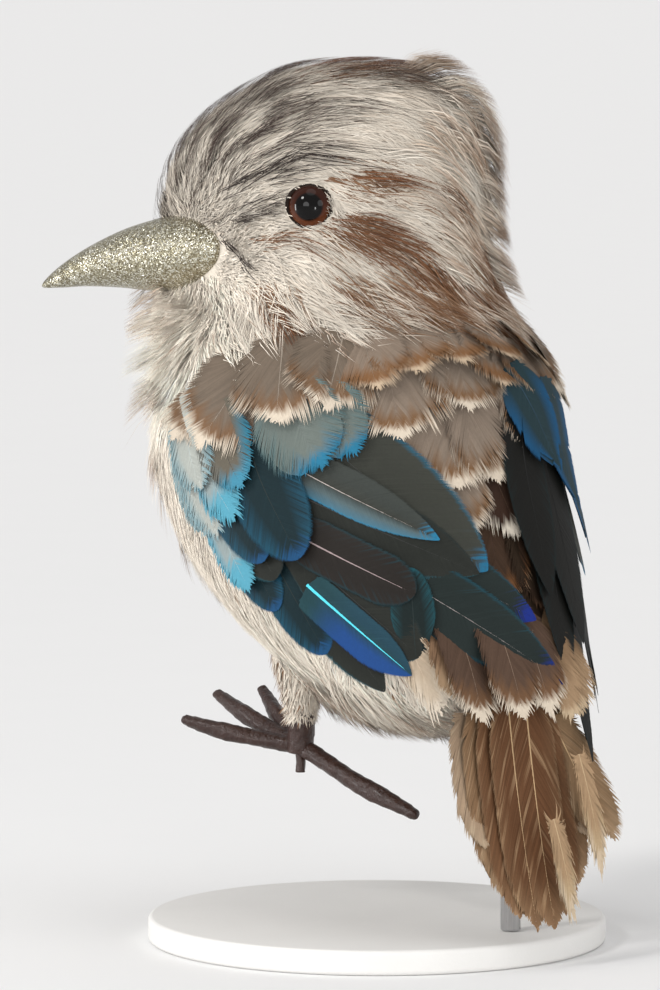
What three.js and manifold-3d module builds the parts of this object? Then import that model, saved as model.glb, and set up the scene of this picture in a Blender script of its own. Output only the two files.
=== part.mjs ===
// A decorative kookaburra ornament on a small display stand, in millimetres, +Z up.
// Fur and feathers cover a foam body. The bill is one moulded piece, the eyes are glass and the feet are
// paper-wound wire. The body faces -Y with its left side at +X, and the head is turned to its left.
// The origin is the centre of the stand's underside.
import * as THREE from "three";
import { mergeVertices } from "three/addons/utils/BufferGeometryUtils.js";
import Module from "manifold-3d";

const wasm = await Module();
wasm.setup();

// Driving dimensions
const GAP = 0.3; // clearance between pieces that touch
const HEAD_TURN = THREE.MathUtils.degToRad(53); // how far the head looks to its left
const NECK = new THREE.Vector2(0, -9); // where the neck's upright axis stands
const HEAD_CUT = 131; // height of the parting between head and neck
const NECK_CUT = 118; // height of the parting between neck and torso
const EYE = { radius: 4.5, forward: 7.8, aside: 25.8, height: 148.2 };
const BASE = { radius: 46, thick: 5, edge: 1 };
const ROD = { radius: 2, x: -8, y: 33, bottom: BASE.thick + GAP, top: 60 };

// Body stations from crown to vent. Each row holds the height, how far the section's centre lies forward of
// the neck's axis, its half length, its half width, its share of the head's turn, and how much its front
// narrows towards the bill.
const BODY = [
  [176.6, 0.6, 0, 0, 1, 0],
  [175.4, 0.6, 14.5, 11, 1, 0],
  [172.4, 1.2, 21.5, 17, 1, 0.05],
  [166.6, 2.4, 28.8, 23, 1, 0.15],
  [158.6, 4.3, 32.9, 27, 1, 0.35],
  [148.6, 5.3, 34.4, 29.5, 1, 0.7],
  [138.6, 4.6, 34.5, 30.5, 1, 0.9],
  [129, 2.8, 36.5, 32.5, 0.9, 0.6],
  [120, 1.2, 38.5, 35.5, 0.5, 0.15],
  [110, 0, 40.2, 37.8, 0.1, 0],
  [98, 1, 42, 39, 0, 0],
  [84, -4, 40.5, 38, 0, 0],
  [72, -10.5, 38, 35, 0, 0],
  [62, -18, 34, 30, 0, 0],
  [54, -23.5, 28, 23, 0, 0],
  [48.5, -25, 18, 13.5, 0, 0],
  [46, -25.5, 0, 0, 0, 0],
];

// The surface that the folded wings lie on, below which they hang free. Each row holds height, centre Y,
// half length and half width.
const WING_GUIDE = [
  [124, -9.5, 38, 36],
  [110, -9.2, 40.2, 38],
  [98, -10, 42, 39.2],
  [84, -5, 41, 38.6],
  [70, 0, 40.5, 37],
  [54, 5.5, 40, 34],
  [34, 11, 40, 31],
];

// Bill stations from its rounded root to its tip: forward, height, half height, half width.
const BILL = [
  [26.2, 139.3, 0, 0],
  [27.6, 139.1, 5.2, 8.4],
  [31, 138.4, 7.4, 9.8],
  [35.5, 137.7, 7.7, 9.4],
  [39.6, 137.2, 7.1, 8.3],
  [45.6, 136.5, 5.8, 6.6],
  [52.6, 134.9, 3.9, 4.4],
  [58.6, 132.7, 2, 2.3],
  [61.8, 131.1, 0, 0],
];

// Feather tiers of the folded wings, lowest tier first. A place is [degrees round from the spine, height].
// Lift is the height over the body at root and tip, and roll tips each vane over its neighbour.
const LEFT_TIERS = [
  { count: 3, roots: [[54, 79], [64, 76]], tips: [[36, 56], [47, 62]], width: 13, lift: [1, 2.2], roll: 6 },
  { count: 3, roots: [[38, 83], [44, 74]], tips: [[-6, 67], [-12, 56.5]], width: 15, lift: [1.2, 2.8], roll: 6 },
  { count: 5, roots: [[46, 103], [62, 83]], tips: [[9, 86], [34, 63]], width: 18, lift: [2, 3.6], roll: 6 },
  { count: 5, roots: [[48, 111], [84, 102]], tips: [[32, 96], [75, 78]], width: 16, lift: [2.4, 4], roll: 5 },
  { count: 4, roots: [[55, 117], [80, 112]], tips: [[43, 105], [83, 98]], width: 16, lift: [1.8, 4], roll: 4 },
];
const RIGHT_TIERS = [
  { count: 5, roots: [[40, 86], [62, 74]], tips: [[22, 39.5], [46, 52]], width: 14, lift: [1.2, 2.6], roll: 6 },
  { count: 4, roots: [[34, 100], [70, 84]], tips: [[20, 70], [58, 62]], width: 18, lift: [2, 3.6], roll: 6 },
  { count: 5, roots: [[25, 113], [84, 100]], tips: [[20, 93], [80, 74]], width: 17, lift: [2.4, 4], roll: 5 },
  { count: 4, roots: [[26, 120], [84, 115]], tips: [[17, 107], [88, 99]], width: 17, lift: [1.8, 4.4], roll: 4 },
];
const WING_PADS = [
  { around: 60, height: 92, spread: 25, reach: 21, thick: 2.6 },
  { around: 52, height: 94, spread: 28, reach: 23, thick: 2.6 },
];

// Tiers of the mantle, from the rump up: height of the tips, and how many feathers lie side by side.
const MANTLE = { heights: [61, 71, 80, 88.5, 97, 105.5, 113.5], counts: [4, 3, 4, 3, 3, 3, 4], step: 15, length: 17, width: 16, top: 121 };
const MANTLE_PAD = { height: 91, spread: 24, reach: 31, thick: 2 };

// Tail: eight vanes in a rounded fan, a little to the right, under a tier of coverts.
const TAIL = {
  root: new THREE.Vector3(0, 40, 60),
  centre: -2.6,
  pairs: [
    { aside: 2, tip: 8.3, back: 51 },
    { aside: 5.8, tip: 11, back: 50.4 },
    { aside: 9.4, tip: 16.5, back: 49.4 },
    { aside: 12.6, tip: 25, back: 48 },
  ],
  width: 12.5,
};
const COVERTS = { asides: [-15, -8.5, 6.5, 13, -1], tip: 48.5, back: 50, width: 13 };

// Legs. The left leg stands and its foot is open. The right foot is drawn up under the belly, closed.
const LEFT_LEG = {
  thigh: [[10, -6, 66, 11], [9.6, -9.4, 59.5, 8.8], [9.5, -11.2, 54, 6.3], [9.2, -12.6, 49, 4.2], [9, -13.5, 44.8, 3.2]],
  ankle: new THREE.Vector3(9, -13.6, 38.4),
  knee: new THREE.Vector3(9.2, -12.8, 50),
  shank: 2.8,
  toes: [
    { reach: [14.4, -21, 4.4], radius: 1.85 },
    { reach: [3.2, -25, 8.6], radius: 1.9 },
    { reach: [-4.6, -19.7, 9.6], radius: 1.75 },
    { reach: [-7, 29.6, -11.6], radius: 2 },
  ],
  sag: -1.2,
  nub: 5.4,
};
const RIGHT_LEG = {
  thigh: [[-10, -6, 66, 11], [-9.8, -8, 60, 9], [-9.6, -9.4, 55, 6.8], [-9.4, -10.4, 51.4, 4.8]],
  ankle: new THREE.Vector3(-9.4, -13.2, 47.6),
  knee: new THREE.Vector3(-9.5, -9.8, 53.5),
  shank: 2.8,
  toes: [
    { reach: [-5.5, -15.5, 10], radius: 1.7 },
    { reach: [-0.6, -18.5, 11.5], radius: 1.75 },
    { reach: [4.4, -15, 10], radius: 1.65 },
    { reach: [0.5, -12, 1.5], radius: 1.8 },
  ],
  sag: -2.4,
  nub: 3.4,
};

// Tiers of fur locks: place in rows of BODY, how many, the arc that they span in degrees anticlockwise
// from the left side, and their size.
const NAPE_TIERS = [
  { s: 2.6, count: 5, from: 40, to: 150, length: 11, width: 8, lift: 0.8 },
  { s: 3.6, count: 6, from: 45, to: 170, length: 13, width: 9, lift: 1.6 },
  { s: 4.7, count: 6, from: 50, to: 172, length: 14, width: 9, lift: 2.6 },
  { s: 5.7, count: 6, from: 50, to: 172, length: 13, width: 9, lift: 2.4 },
];
const RUFF_TIERS = [
  { s: 6.9, count: 7, from: 20, to: 190, length: 13, width: 10, lift: 1.8 },
  { s: 7.35, count: 7, from: -66, to: 2, length: 9, width: 7, lift: 3 },
];
const BREAST_TIERS = [
  { s: 9.4, count: 6, from: -150, to: -30, length: 13, width: 10, lift: 0.2 },
  { s: 14.1, count: 11, from: -175, to: 155, length: 7.5, width: 7.5, lift: 2.4 },
];

// Vector helpers
const vec = (x, y, z) => new THREE.Vector3(x, y, z);
const lerp = THREE.MathUtils.lerp;
const lerp2 = (a, b, t) => a.map((value, i) => lerp(value, b[i], t));
const facing = (turn) => new THREE.Vector2(Math.sin(turn), -Math.cos(turn));

// Catmull-Rom value of one column of a station table at place s, in rows. A closed end mirrors its sizes,
// so that the surface rounds over its pole.
function column(table, index, s, mirrored = false) {
  const last = table.length - 1;
  const i = Math.min(Math.floor(s), last - 1);
  const f = s - i;
  const at = (row) => {
    if (row < 0) return (mirrored ? -1 : 1) * table[1][index];
    if (row > last) return (mirrored ? -1 : 1) * table[last - 1][index];
    return table[row][index];
  };
  const [a, b, c, d] = [at(i - 1), at(i), at(i + 1), at(i + 2)];
  return b + (f / 2) * (c - a + f * (2 * a - 5 * b + 4 * c - d + f * (3 * (b - c) + d - a)));
}

// Place in a table, in rows, at which its first column has this height. The column falls all the way.
function rowAt(table, height) {
  const i = table.findIndex((row, k) => k + 1 < table.length && table[k + 1][0] <= height);
  if (i < 0) return table.length - 1;
  return Math.max(0, i + (table[i][0] - height) / (table[i][0] - table[i + 1][0]));
}

// A closed surface from a sphere's grid: place(along, around) moves each of its points, along from 0 to 1
// pole to pole, and around in radians, anticlockwise seen from the first pole.
function mapped(columns, rows, place) {
  const sphere = new THREE.SphereGeometry(1, columns, rows);
  const { position, uv } = sphere.attributes;
  for (let i = 0; i < position.count; i++) {
    const around = (uv.getX(i) % 1) * 2 * Math.PI;
    const inside = uv.getY(i) > 1e-6 && uv.getY(i) < 1 - 1e-6;
    const p = place(1 - uv.getY(i), inside ? Math.round((around / 2 / Math.PI) * columns) * (2 * Math.PI / columns) : 0);
    position.setXYZ(i, p.x, p.y, p.z);
  }
  sphere.deleteAttribute("normal");
  sphere.deleteAttribute("uv");
  return mergeVertices(sphere, 1e-4);
}

// A copy whose corners hold nothing but their places, each only once.
function welded(geometry) {
  const bare = geometry.clone();
  for (const name of Object.keys(bare.attributes)) if (name !== "position") bare.deleteAttribute(name);
  return mergeVertices(bare, 1e-4);
}

// The same surface pushed out along its normals, used to cut neighbours clear of it.
function grown(geometry, by) {
  const out = welded(geometry);
  out.computeVertexNormals();
  const { position, normal } = out.attributes;
  for (let i = 0; i < position.count; i++) {
    position.setXYZ(
      i,
      position.getX(i) + by * normal.getX(i),
      position.getY(i) + by * normal.getY(i),
      position.getZ(i) + by * normal.getZ(i),
    );
  }
  out.deleteAttribute("normal");
  return out;
}

// Solids and Booleans
function solid(geometry) {
  const merged = welded(geometry);
  return new wasm.Manifold(
    new wasm.Mesh({
      numProp: 3,
      vertProperties: new Float32Array(merged.attributes.position.array),
      triVerts: new Uint32Array(merged.index.array),
    }),
  );
}
const joined = (list) => list.reduce((sum, next) => sum.add(next));
const without = (body, cutters) => cutters.reduce((rest, cutter) => rest.subtract(cutter), body);
const largest = (body) => body.decompose().reduce((a, b) => (b.volume() > a.volume() ? b : a));

function geometryOf(body) {
  const mesh = body.getMesh();
  const places = new Float32Array(mesh.numVert * 3);
  for (let i = 0; i < mesh.numVert; i++) {
    places.set(mesh.vertProperties.subarray(i * mesh.numProp, i * mesh.numProp + 3), i * 3);
  }
  const geometry = new THREE.BufferGeometry();
  geometry.setAttribute("position", new THREE.BufferAttribute(places, 3));
  geometry.setIndex(new THREE.BufferAttribute(new Uint32Array(mesh.triVerts), 1));
  geometry.computeVertexNormals();
  return geometry;
}

// The same surface with its faces turned outwards.
function outward(geometry) {
  if (solid(geometry).volume() >= 0) return geometry;
  const index = geometry.index.array;
  for (let i = 0; i < index.length; i += 3) [index[i + 1], index[i + 2]] = [index[i + 2], index[i + 1]];
  return geometry;
}

// A slab of the whole width, used to part the body with level cuts.
function slab(bottom, top) {
  const side = 400;
  return solid(new THREE.BoxGeometry(side, side, top - bottom).translate(0, 0, (bottom + top) / 2));
}

// Head, neck and torso
// A point of the body's skin: s is the place in rows of BODY, and around is measured anticlockwise from +X.
function bodyPoint(s, around, inset = 0) {
  const turn = HEAD_TURN * column(BODY, 4, s);
  const ahead = facing(turn);
  const left = new THREE.Vector2(-ahead.y, ahead.x);
  const length = Math.max(0, column(BODY, 2, s, true) - inset);
  const width = Math.max(0, column(BODY, 3, s, true) - inset);
  const angle = around - Math.atan2(ahead.y, ahead.x);
  const snout = 1 - column(BODY, 5, s) * Math.max(0, Math.cos(angle)) ** 1.5;
  const forward = column(BODY, 1, s) + length * Math.cos(angle);
  const aside = width * Math.sin(angle) * snout;
  return vec(
    NECK.x + forward * ahead.x + aside * left.x,
    NECK.y + forward * ahead.y + aside * left.y,
    column(BODY, 0, s),
  );
}

function bodyShape() {
  const last = BODY.length - 1;
  return mapped(28, 2 * last, (along, around) => bodyPoint(along * last, around));
}

// A point in the head's own directions: forward of the neck's axis, to the head's left, and up.
function headPoint(forward, aside, height) {
  const ahead = facing(HEAD_TURN);
  return vec(NECK.x + forward * ahead.x - aside * ahead.y, NECK.y + forward * ahead.y + aside * ahead.x, height);
}

function billShape() {
  const last = BILL.length - 1;
  return mapped(14, 14, (along, around) => {
    const s = along * last;
    const high = Math.max(0, column(BILL, 2, s, true));
    const wide = Math.max(0, column(BILL, 3, s, true));
    return headPoint(column(BILL, 0, s), -wide * Math.cos(around), column(BILL, 1, s) + high * Math.sin(around));
  });
}

function eyeShape(side) {
  const ball = new THREE.SphereGeometry(EYE.radius, 15, 9);
  const middle = headPoint(EYE.forward, side * EYE.aside, EYE.height);
  return ball.translate(middle.x, middle.y, middle.z);
}

// Vanes and locks
// A flat closed plate along a spine. frame(t) gives its middle, its direction across and its upward normal.
// The section is a flat rhombus, and both faces are split into triangles alike.
const VANE_ROWS = [0, 0.3, 0.65, 0.88, 1];
const SHORT_ROWS = [0, 0.4, 0.85, 1];
function plate(frame, width, thick, camber, rows = VANE_ROWS) {
  const places = [];
  for (const t of rows) {
    const { middle, across, up } = frame(t);
    const [half, mid] = [width(t) / 2, thick(t) / 2];
    const drop = -camber * half;
    for (const [a, b] of [[0, mid], [half, drop], [0, -mid], [-half, drop]]) {
      places.push(middle.clone().addScaledVector(across, a).addScaledVector(up, b));
    }
  }
  const index = [];
  const quad = (a, b, c, d, turned) => index.push(...(turned ? [a, b, d, b, c, d] : [a, b, c, a, c, d]));
  for (let r = 0; r + 1 < rows.length; r++) {
    const [p, q] = [4 * r, 4 * (r + 1)];
    quad(p, q, q + 1, p + 1, false);
    quad(p + 1, q + 1, q + 2, p + 2, true);
    quad(p + 2, q + 2, q + 3, p + 3, false);
    quad(p + 3, q + 3, q, p, true);
  }
  const e = 4 * (rows.length - 1);
  index.push(0, 1, 3, 1, 2, 3);
  index.push(e, e + 3, e + 1, e + 1, e + 3, e + 2);
  const geometry = new THREE.BufferGeometry();
  geometry.setAttribute("position", new THREE.Float32BufferAttribute(places.flatMap((p) => p.toArray()), 3));
  geometry.setIndex(index);
  return outward(geometry);
}

// A feather's outline: narrow at the root, widest past its middle, and rounded at the tip.
const featherWidth = (width) => (t) => width * (t < 0.65 ? 0.5 + 0.77 * t : Math.sqrt(Math.max(0.09, 1 - ((t - 0.65) / 0.36) ** 2)));
const featherThick = (t) => lerp(1.4, 0.9, t);

// A plate that runs from root to tip through a bend, over a surface whose outward normal is given by out(t).
function ribbon(root, tip, out, width, thick, { bulge = 0, roll = 0, camber = 0.08, rows } = {}) {
  const along = tip.clone().sub(root);
  const frame = (t) => {
    const normal = out(t).clone().normalize();
    const middle = root.clone().addScaledVector(along, t).addScaledVector(normal, bulge * 4 * t * (1 - t));
    const forward = along.clone().addScaledVector(normal, bulge * 4 * (1 - 2 * t)).normalize();
    const across = new THREE.Vector3().crossVectors(forward, normal).normalize().applyAxisAngle(forward, roll);
    return { middle, across, up: new THREE.Vector3().crossVectors(across, forward).normalize() };
  };
  return plate(frame, width, thick, camber, rows);
}

// Wings
// A point over the wing's guide at an angle from the spine, in degrees, and a height, lifted outwards.
function guidePoint(degrees, height, lift, side) {
  const s = rowAt(WING_GUIDE, height);
  const angle = THREE.MathUtils.degToRad(degrees);
  const [long, wide] = [column(WING_GUIDE, 2, s), column(WING_GUIDE, 3, s)];
  const normal = vec(Math.sin(angle) / wide, Math.cos(angle) / long, 0).normalize();
  const p = vec(wide * Math.sin(angle), column(WING_GUIDE, 1, s) + long * Math.cos(angle), height);
  p.addScaledVector(normal, lift);
  return vec(side * p.x, p.y, p.z);
}
function guideNormal(degrees, height, side) {
  return guidePoint(degrees, height, 1, side).sub(guidePoint(degrees, height, 0, side));
}

// One wing feather bends round the body between its root and its tip.
function wingFeather(root, tip, lift, width, roll, side, rows = VANE_ROWS) {
  const place = (t) => lerp2(root, tip, t);
  const frame = (t) => {
    const point = (at) => guidePoint(...place(at), lerp(...lift, at), side);
    const forward = point(t + 0.02).sub(point(t - 0.02)).normalize();
    const normal = guideNormal(...place(t), side);
    const across = new THREE.Vector3().crossVectors(forward, normal).normalize().applyAxisAngle(forward, roll);
    return { middle: point(t), across, up: new THREE.Vector3().crossVectors(across, forward).normalize() };
  };
  return plate(frame, featherWidth(width), featherThick, 0.06, rows);
}

function wingPad({ around, height, spread, reach, thick }, side) {
  return mapped(18, 8, (along, turn) => {
    const share = Math.sin(Math.PI * along);
    const lift = (along < 0.5 ? thick : 1.6) * Math.cos(Math.PI * along);
    const across = -side * spread * share * Math.cos(turn);
    return guidePoint(around + across, height + reach * share * Math.sin(turn), lift, side);
  });
}

function wing(pad, tiers, side) {
  const pieces = [wingPad(pad, side)];
  for (const tier of tiers) {
    for (let k = 0; k < tier.count; k++) {
      const share = tier.count > 1 ? k / (tier.count - 1) : 0;
      const root = lerp2(tier.roots[0], tier.roots[1], share);
      const tip = lerp2(tier.tips[0], tier.tips[1], share);
      const roll = side * THREE.MathUtils.degToRad(tier.roll);
      pieces.push(wingFeather(root, tip, tier.lift, tier.width, roll, side));
    }
  }
  return pieces;
}

// Mantle
// Each feather of the back is a short wide vane that lies down the spine, lifted at its tip.
function mantle() {
  const pad = mapped(14, 8, (along, turn) => {
    const share = Math.sin(Math.PI * along);
    const lift = (along < 0.5 ? MANTLE_PAD.thick : 1.4) * Math.cos(Math.PI * along);
    const across = -MANTLE_PAD.spread * share * Math.cos(turn);
    return guidePoint(across, MANTLE_PAD.height + MANTLE_PAD.reach * share * Math.sin(turn), lift, 1);
  });
  const pieces = [pad];
  MANTLE.heights.forEach((height, tier) => {
    const count = MANTLE.counts[tier];
    for (let k = 0; k < count; k++) {
      const degrees = (k - (count - 1) / 2) * MANTLE.step;
      const lift = [0.6, 2.4 + 0.2 * tier];
      const root = [degrees * 0.85, Math.min(height + MANTLE.length, MANTLE.top)];
      pieces.push(wingFeather(root, [degrees, height], lift, MANTLE.width, 0, 1, SHORT_ROWS));
    }
  });
  return pieces;
}

// Tail
function tail() {
  const pieces = [];
  const spine = [[64, 36, 9, 9], [56, 40.4, 12, 5.2], [48, 43, 11, 2.4], [41, 44.4, 7, 0.8]];
  pieces.push(
    mapped(12, 8, (along, around) => {
      const s = along * (spine.length - 1);
      const cap = Math.sqrt(Math.max(0, 1 - (2 * along - 1) ** 4));
      const [wide, deep] = [column(spine, 2, s) * cap, column(spine, 3, s) * cap];
      return vec(wide * Math.cos(around), column(spine, 1, s) + deep * Math.sin(around), column(spine, 0, s));
    }),
  );
  const out = () => vec(0, 1, 0.12);
  TAIL.pairs.forEach(({ aside, tip, back }, k) => {
    for (const side of [1, -1]) {
      const under = side > 0 ? 0.5 : 0;
      const root = vec(side * (2 + 2.4 * k), TAIL.root.y + 4.6 - 0.9 * k - under, TAIL.root.z - 6 - k);
      const end = vec(TAIL.centre + side * aside, back - under, tip);
      const roll = THREE.MathUtils.degToRad(side * 6);
      pieces.push(ribbon(root, end, out, featherWidth(TAIL.width), featherThick, { bulge: -0.8, roll }));
    }
  });
  COVERTS.asides.forEach((aside, k) => {
    const lifted = 1.4 - 0.12 * Math.abs(aside) + 0.4 * (k % 2);
    const root = vec(aside * 0.5, TAIL.root.y + 3.4 + lifted, TAIL.root.z + 1);
    const end = vec(aside, COVERTS.back + lifted, COVERTS.tip + (k % 2) * 2);
    pieces.push(ribbon(root, end, out, featherWidth(COVERTS.width), featherThick, { bulge: 0.6 }));
  });
  return pieces;
}

// Fur locks
// A lock lies along the coat from its sunk root and lifts clear at its pointed end.
const lockWidth = (width) => (t) => width * (t < 0.35 ? 0.7 + 0.85 * t : Math.max(0.1, 1 - ((t - 0.35) / 0.66) ** 1.6));
const lockThick = (t) => lerp(2, 0.7, t);
const LOCK_ROWS = [0, 0.35, 0.75, 1];

function lock(place, { length, width, lift, drift = 0 }) {
  const root = bodyPoint(place.s, place.around, 1.2);
  const ahead = bodyPoint(place.s + 0.05, place.around);
  const here = bodyPoint(place.s, place.around);
  const beside = bodyPoint(place.s, place.around + 0.05);
  const down = ahead.clone().sub(here).normalize();
  const along = beside.clone().sub(here).normalize();
  const out = new THREE.Vector3().crossVectors(down, along).normalize();
  const tip = here.clone().addScaledVector(down, length).addScaledVector(along, drift).addScaledVector(out, lift);
  return ribbon(root, tip, () => out, lockWidth(width), lockThick, { bulge: lift * 0.25, camber: 0.16, rows: LOCK_ROWS });
}

// A seeded draw between -1 and 1, so that every build is the same.
let seed = 7;
function draw() {
  seed = (seed * 16807) % 2147483647;
  return (seed / 2147483647) * 2 - 1;
}

function locks(tiers) {
  const made = [];
  for (const { s, count, from, to, length, width, lift } of tiers) {
    for (let k = 0; k < count; k++) {
      const around = THREE.MathUtils.degToRad(lerp(from, to, (k + 0.5 + 0.2 * draw()) / count));
      const place = { s: s + 0.12 * draw(), around };
      made.push(lock(place, { length: length + 1.2 * draw(), width, lift: lift + 0.4 * draw(), drift: 1.2 * draw() }));
    }
  }
  return made;
}

// Legs and feet
function tube(path, radius, sides, rows) {
  const curve = new THREE.CatmullRomCurve3(path);
  const up = vec(0.31, 0.17, 0.93);
  return mapped(sides, rows, (along, around) => {
    const t = (1 - Math.cos(Math.PI * along)) / 2;
    const direction = curve.getTangent(t);
    const a = new THREE.Vector3().crossVectors(direction, up).normalize();
    const b = new THREE.Vector3().crossVectors(direction, a).normalize();
    const r = radius(t) * Math.min(1, Math.sin(Math.PI * along) * 1.8);
    return curve.getPoint(t).addScaledVector(a, r * Math.cos(around)).addScaledVector(b, -r * Math.sin(around));
  });
}
function thigh(leg) {
  const rows = leg.thigh;
  return outward(
    mapped(14, 10, (along, around) => {
      const s = along * (rows.length - 1);
      const cap = Math.sqrt(Math.max(0, 1 - (2 * along - 1) ** 8));
      const r = column(rows, 3, s) * cap;
      return vec(column(rows, 0, s) + r * Math.cos(around), column(rows, 1, s) + r * Math.sin(around), column(rows, 2, s));
    }),
  );
}

function footPieces(leg) {
  const pieces = [outward(tube([leg.knee, leg.knee.clone().lerp(leg.ankle, 0.5), leg.ankle, leg.ankle.clone().add(vec(0, 0, -1.6))], () => leg.shank, 8, 6))];
  for (const { reach, radius } of leg.toes) {
    const tip = leg.ankle.clone().add(vec(...reach));
    const middle = leg.ankle.clone().lerp(tip, 0.5).add(vec(0, 0, leg.sag * 0.5));
    const profile = (t) => radius * (t < 0.6 ? 1 - 0.12 * Math.sin(5 * t) : lerp(1, 0.42, (t - 0.6) / 0.4));
    pieces.push(outward(tube([leg.ankle, middle, tip], profile, 6, 8)));
  }
  const end = leg.ankle.clone().add(vec(0.4, 0.6, -leg.nub));
  pieces.push(outward(tube([leg.ankle, leg.ankle.clone().lerp(end, 0.5), end], () => 1, 6, 5)));
  return pieces;
}

// Stand
function standBase() {
  const { radius, thick, edge } = BASE;
  const outline = [[0, 0], [radius - edge, 0], [radius, edge], [radius, thick - edge], [radius - edge, thick], [0, thick]];
  const lathe = new THREE.LatheGeometry(outline.map(([r, z]) => new THREE.Vector2(r, z)), 40);
  return lathe.rotateX(Math.PI / 2);
}
function standRod() {
  const height = ROD.top - ROD.bottom;
  const rod = new THREE.CylinderGeometry(ROD.radius, ROD.radius, height, 16);
  return rod.rotateX(Math.PI / 2).translate(ROD.x, ROD.y, ROD.bottom + height / 2);
}

// Assembly: each piece is cut clear of those that it meets.
const whole = (shapes) => joined(shapes.map((shape) => solid(shape)));
const room = (shapes) => joined(shapes.map((shape) => solid(grown(shape, GAP))));

const bodyMesh = bodyShape();
const body = solid(bodyMesh);
const bodyRoom = room([bodyMesh]);
const bill = billShape();
const eyes = [eyeShape(1), eyeShape(-1)];

const bodyBetween = (bottom, top) => body.intersect(slab(bottom, top));
const roomBetween = (bottom, top) => bodyRoom.intersect(slab(bottom, top));
const HALF = GAP / 2;

const wingLeft = wing(WING_PADS[0], LEFT_TIERS, 1);
const wingRight = wing(WING_PADS[1], RIGHT_TIERS, -1);
const wingRoom = room([...wingLeft, ...wingRight]);
const mantleShapes = mantle();
const mantleRoom = room(mantleShapes);
const tailShapes = tail();
const feet = [footPieces(LEFT_LEG), footPieces(RIGHT_LEG)];
const thighs = [thigh(LEFT_LEG), thigh(RIGHT_LEG)];
const lowRoom = room([...tailShapes, ...feet.flat(), ...thighs, standRod()]);

const napeLocks = locks(NAPE_TIERS);
const ruffLocks = locks(RUFF_TIERS);
const breastLocks = locks(BREAST_TIERS);
const nape = without(whole(napeLocks), [room([bill, ...eyes]), roomBetween(0, HEAD_CUT + HALF), wingRoom, mantleRoom]);
const ruff = without(whole(ruffLocks), [
  room([bill, ...napeLocks]),
  roomBetween(HEAD_CUT - HALF, 250),
  roomBetween(0, NECK_CUT + HALF),
  wingRoom,
  mantleRoom,
]);
const breast = without(whole(breastLocks), [room(ruffLocks), roomBetween(NECK_CUT - HALF, 250), wingRoom, mantleRoom, lowRoom]);

// Materials by what each piece is made of
const material = (color, roughness, metalness = 0) => new THREE.MeshStandardMaterial({ color, roughness, metalness });
const finish = {
  fur: material("#d9cebf", 0.95),
  bill: material("#b3a67c", 0.35, 0.6),
  eye: material("#3a1206", 0.08),
  mantle: material("#8a7563", 0.85),
  wing: material("#1f4a5a", 0.5),
  tail: material("#8d6a48", 0.75),
  foot: material("#4a2a22", 0.45),
  stand: material("#e3e2de", 0.6),
  rod: material("#b9babb", 0.3, 1),
};

const ornament = new THREE.Group();
function add(name, shape, look) {
  const mesh = new THREE.Mesh(shape, look);
  mesh.name = name;
  ornament.add(mesh);
}
const addCut = (name, shape, cutters, look) => add(name, geometryOf(largest(without(shape, cutters))), look);

addCut("head", bodyBetween(HEAD_CUT + HALF, 250).add(nape), [room([bill, ...eyes])], finish.fur);
addCut("neck", bodyBetween(NECK_CUT + HALF, HEAD_CUT - HALF).add(ruff), [room([bill])], finish.fur);
addCut("torso", bodyBetween(0, NECK_CUT - HALF).add(breast), [], finish.fur);
add("bill", bill, finish.bill);
add("eye_left", eyes[0], finish.eye);
add("eye_right", eyes[1], finish.eye);
addCut("mantle", whole(mantleShapes), [bodyRoom, wingRoom], finish.mantle);
addCut("wing_left", whole(wingLeft), [bodyRoom], finish.wing);
addCut("wing_right", whole(wingRight), [bodyRoom], finish.wing);
addCut("tail", whole(tailShapes), [bodyRoom, wingRoom, mantleRoom], finish.tail);
addCut("thigh_left", solid(thighs[0]), [bodyRoom, room(feet[0])], finish.fur);
addCut("thigh_right", solid(thighs[1]), [bodyRoom, room(feet[1])], finish.fur);
addCut("foot_left", whole(feet[0]), [bodyRoom], finish.foot);
addCut("foot_right", whole(feet[1]), [bodyRoom], finish.foot);
add("stand_base", standBase(), finish.stand);
addCut("stand_rod", solid(standRod()), [bodyRoom], finish.rod);

export default ornament;
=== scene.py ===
"""A decorative kookaburra on a display stand: fur over a foam body, craft feathers, a glitter bill,
glass eyes and wrapped-wire feet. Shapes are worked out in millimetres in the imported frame, +Z up, with the
body facing -Y and its left side at +X, and are written to the meshes in metres."""

import bpy
import numpy as np
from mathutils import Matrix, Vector


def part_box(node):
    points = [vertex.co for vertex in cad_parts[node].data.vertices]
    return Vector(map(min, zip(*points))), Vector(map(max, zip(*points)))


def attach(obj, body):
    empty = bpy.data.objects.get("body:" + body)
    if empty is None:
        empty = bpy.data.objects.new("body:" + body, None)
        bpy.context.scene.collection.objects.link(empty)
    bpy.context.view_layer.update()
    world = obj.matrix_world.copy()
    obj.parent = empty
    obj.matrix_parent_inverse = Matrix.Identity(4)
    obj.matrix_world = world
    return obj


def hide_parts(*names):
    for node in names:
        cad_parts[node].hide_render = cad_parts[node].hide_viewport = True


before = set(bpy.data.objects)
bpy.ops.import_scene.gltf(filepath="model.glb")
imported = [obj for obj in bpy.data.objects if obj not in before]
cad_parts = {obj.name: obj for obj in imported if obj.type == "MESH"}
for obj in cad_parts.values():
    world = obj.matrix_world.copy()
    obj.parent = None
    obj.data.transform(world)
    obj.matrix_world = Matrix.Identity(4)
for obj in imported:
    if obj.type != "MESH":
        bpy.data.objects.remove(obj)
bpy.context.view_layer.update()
MM = 0.001


# ---- camera, light and floor ----

def towards(azimuth, elevation):
    """Unit vector from the ornament to a camera, for an azimuth that looks along +Y at 0, in degrees."""
    a, e = np.radians(azimuth), np.radians(elevation)
    return np.array([np.sin(a) * np.cos(e), -np.cos(a) * np.cos(e), np.sin(e)])


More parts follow.
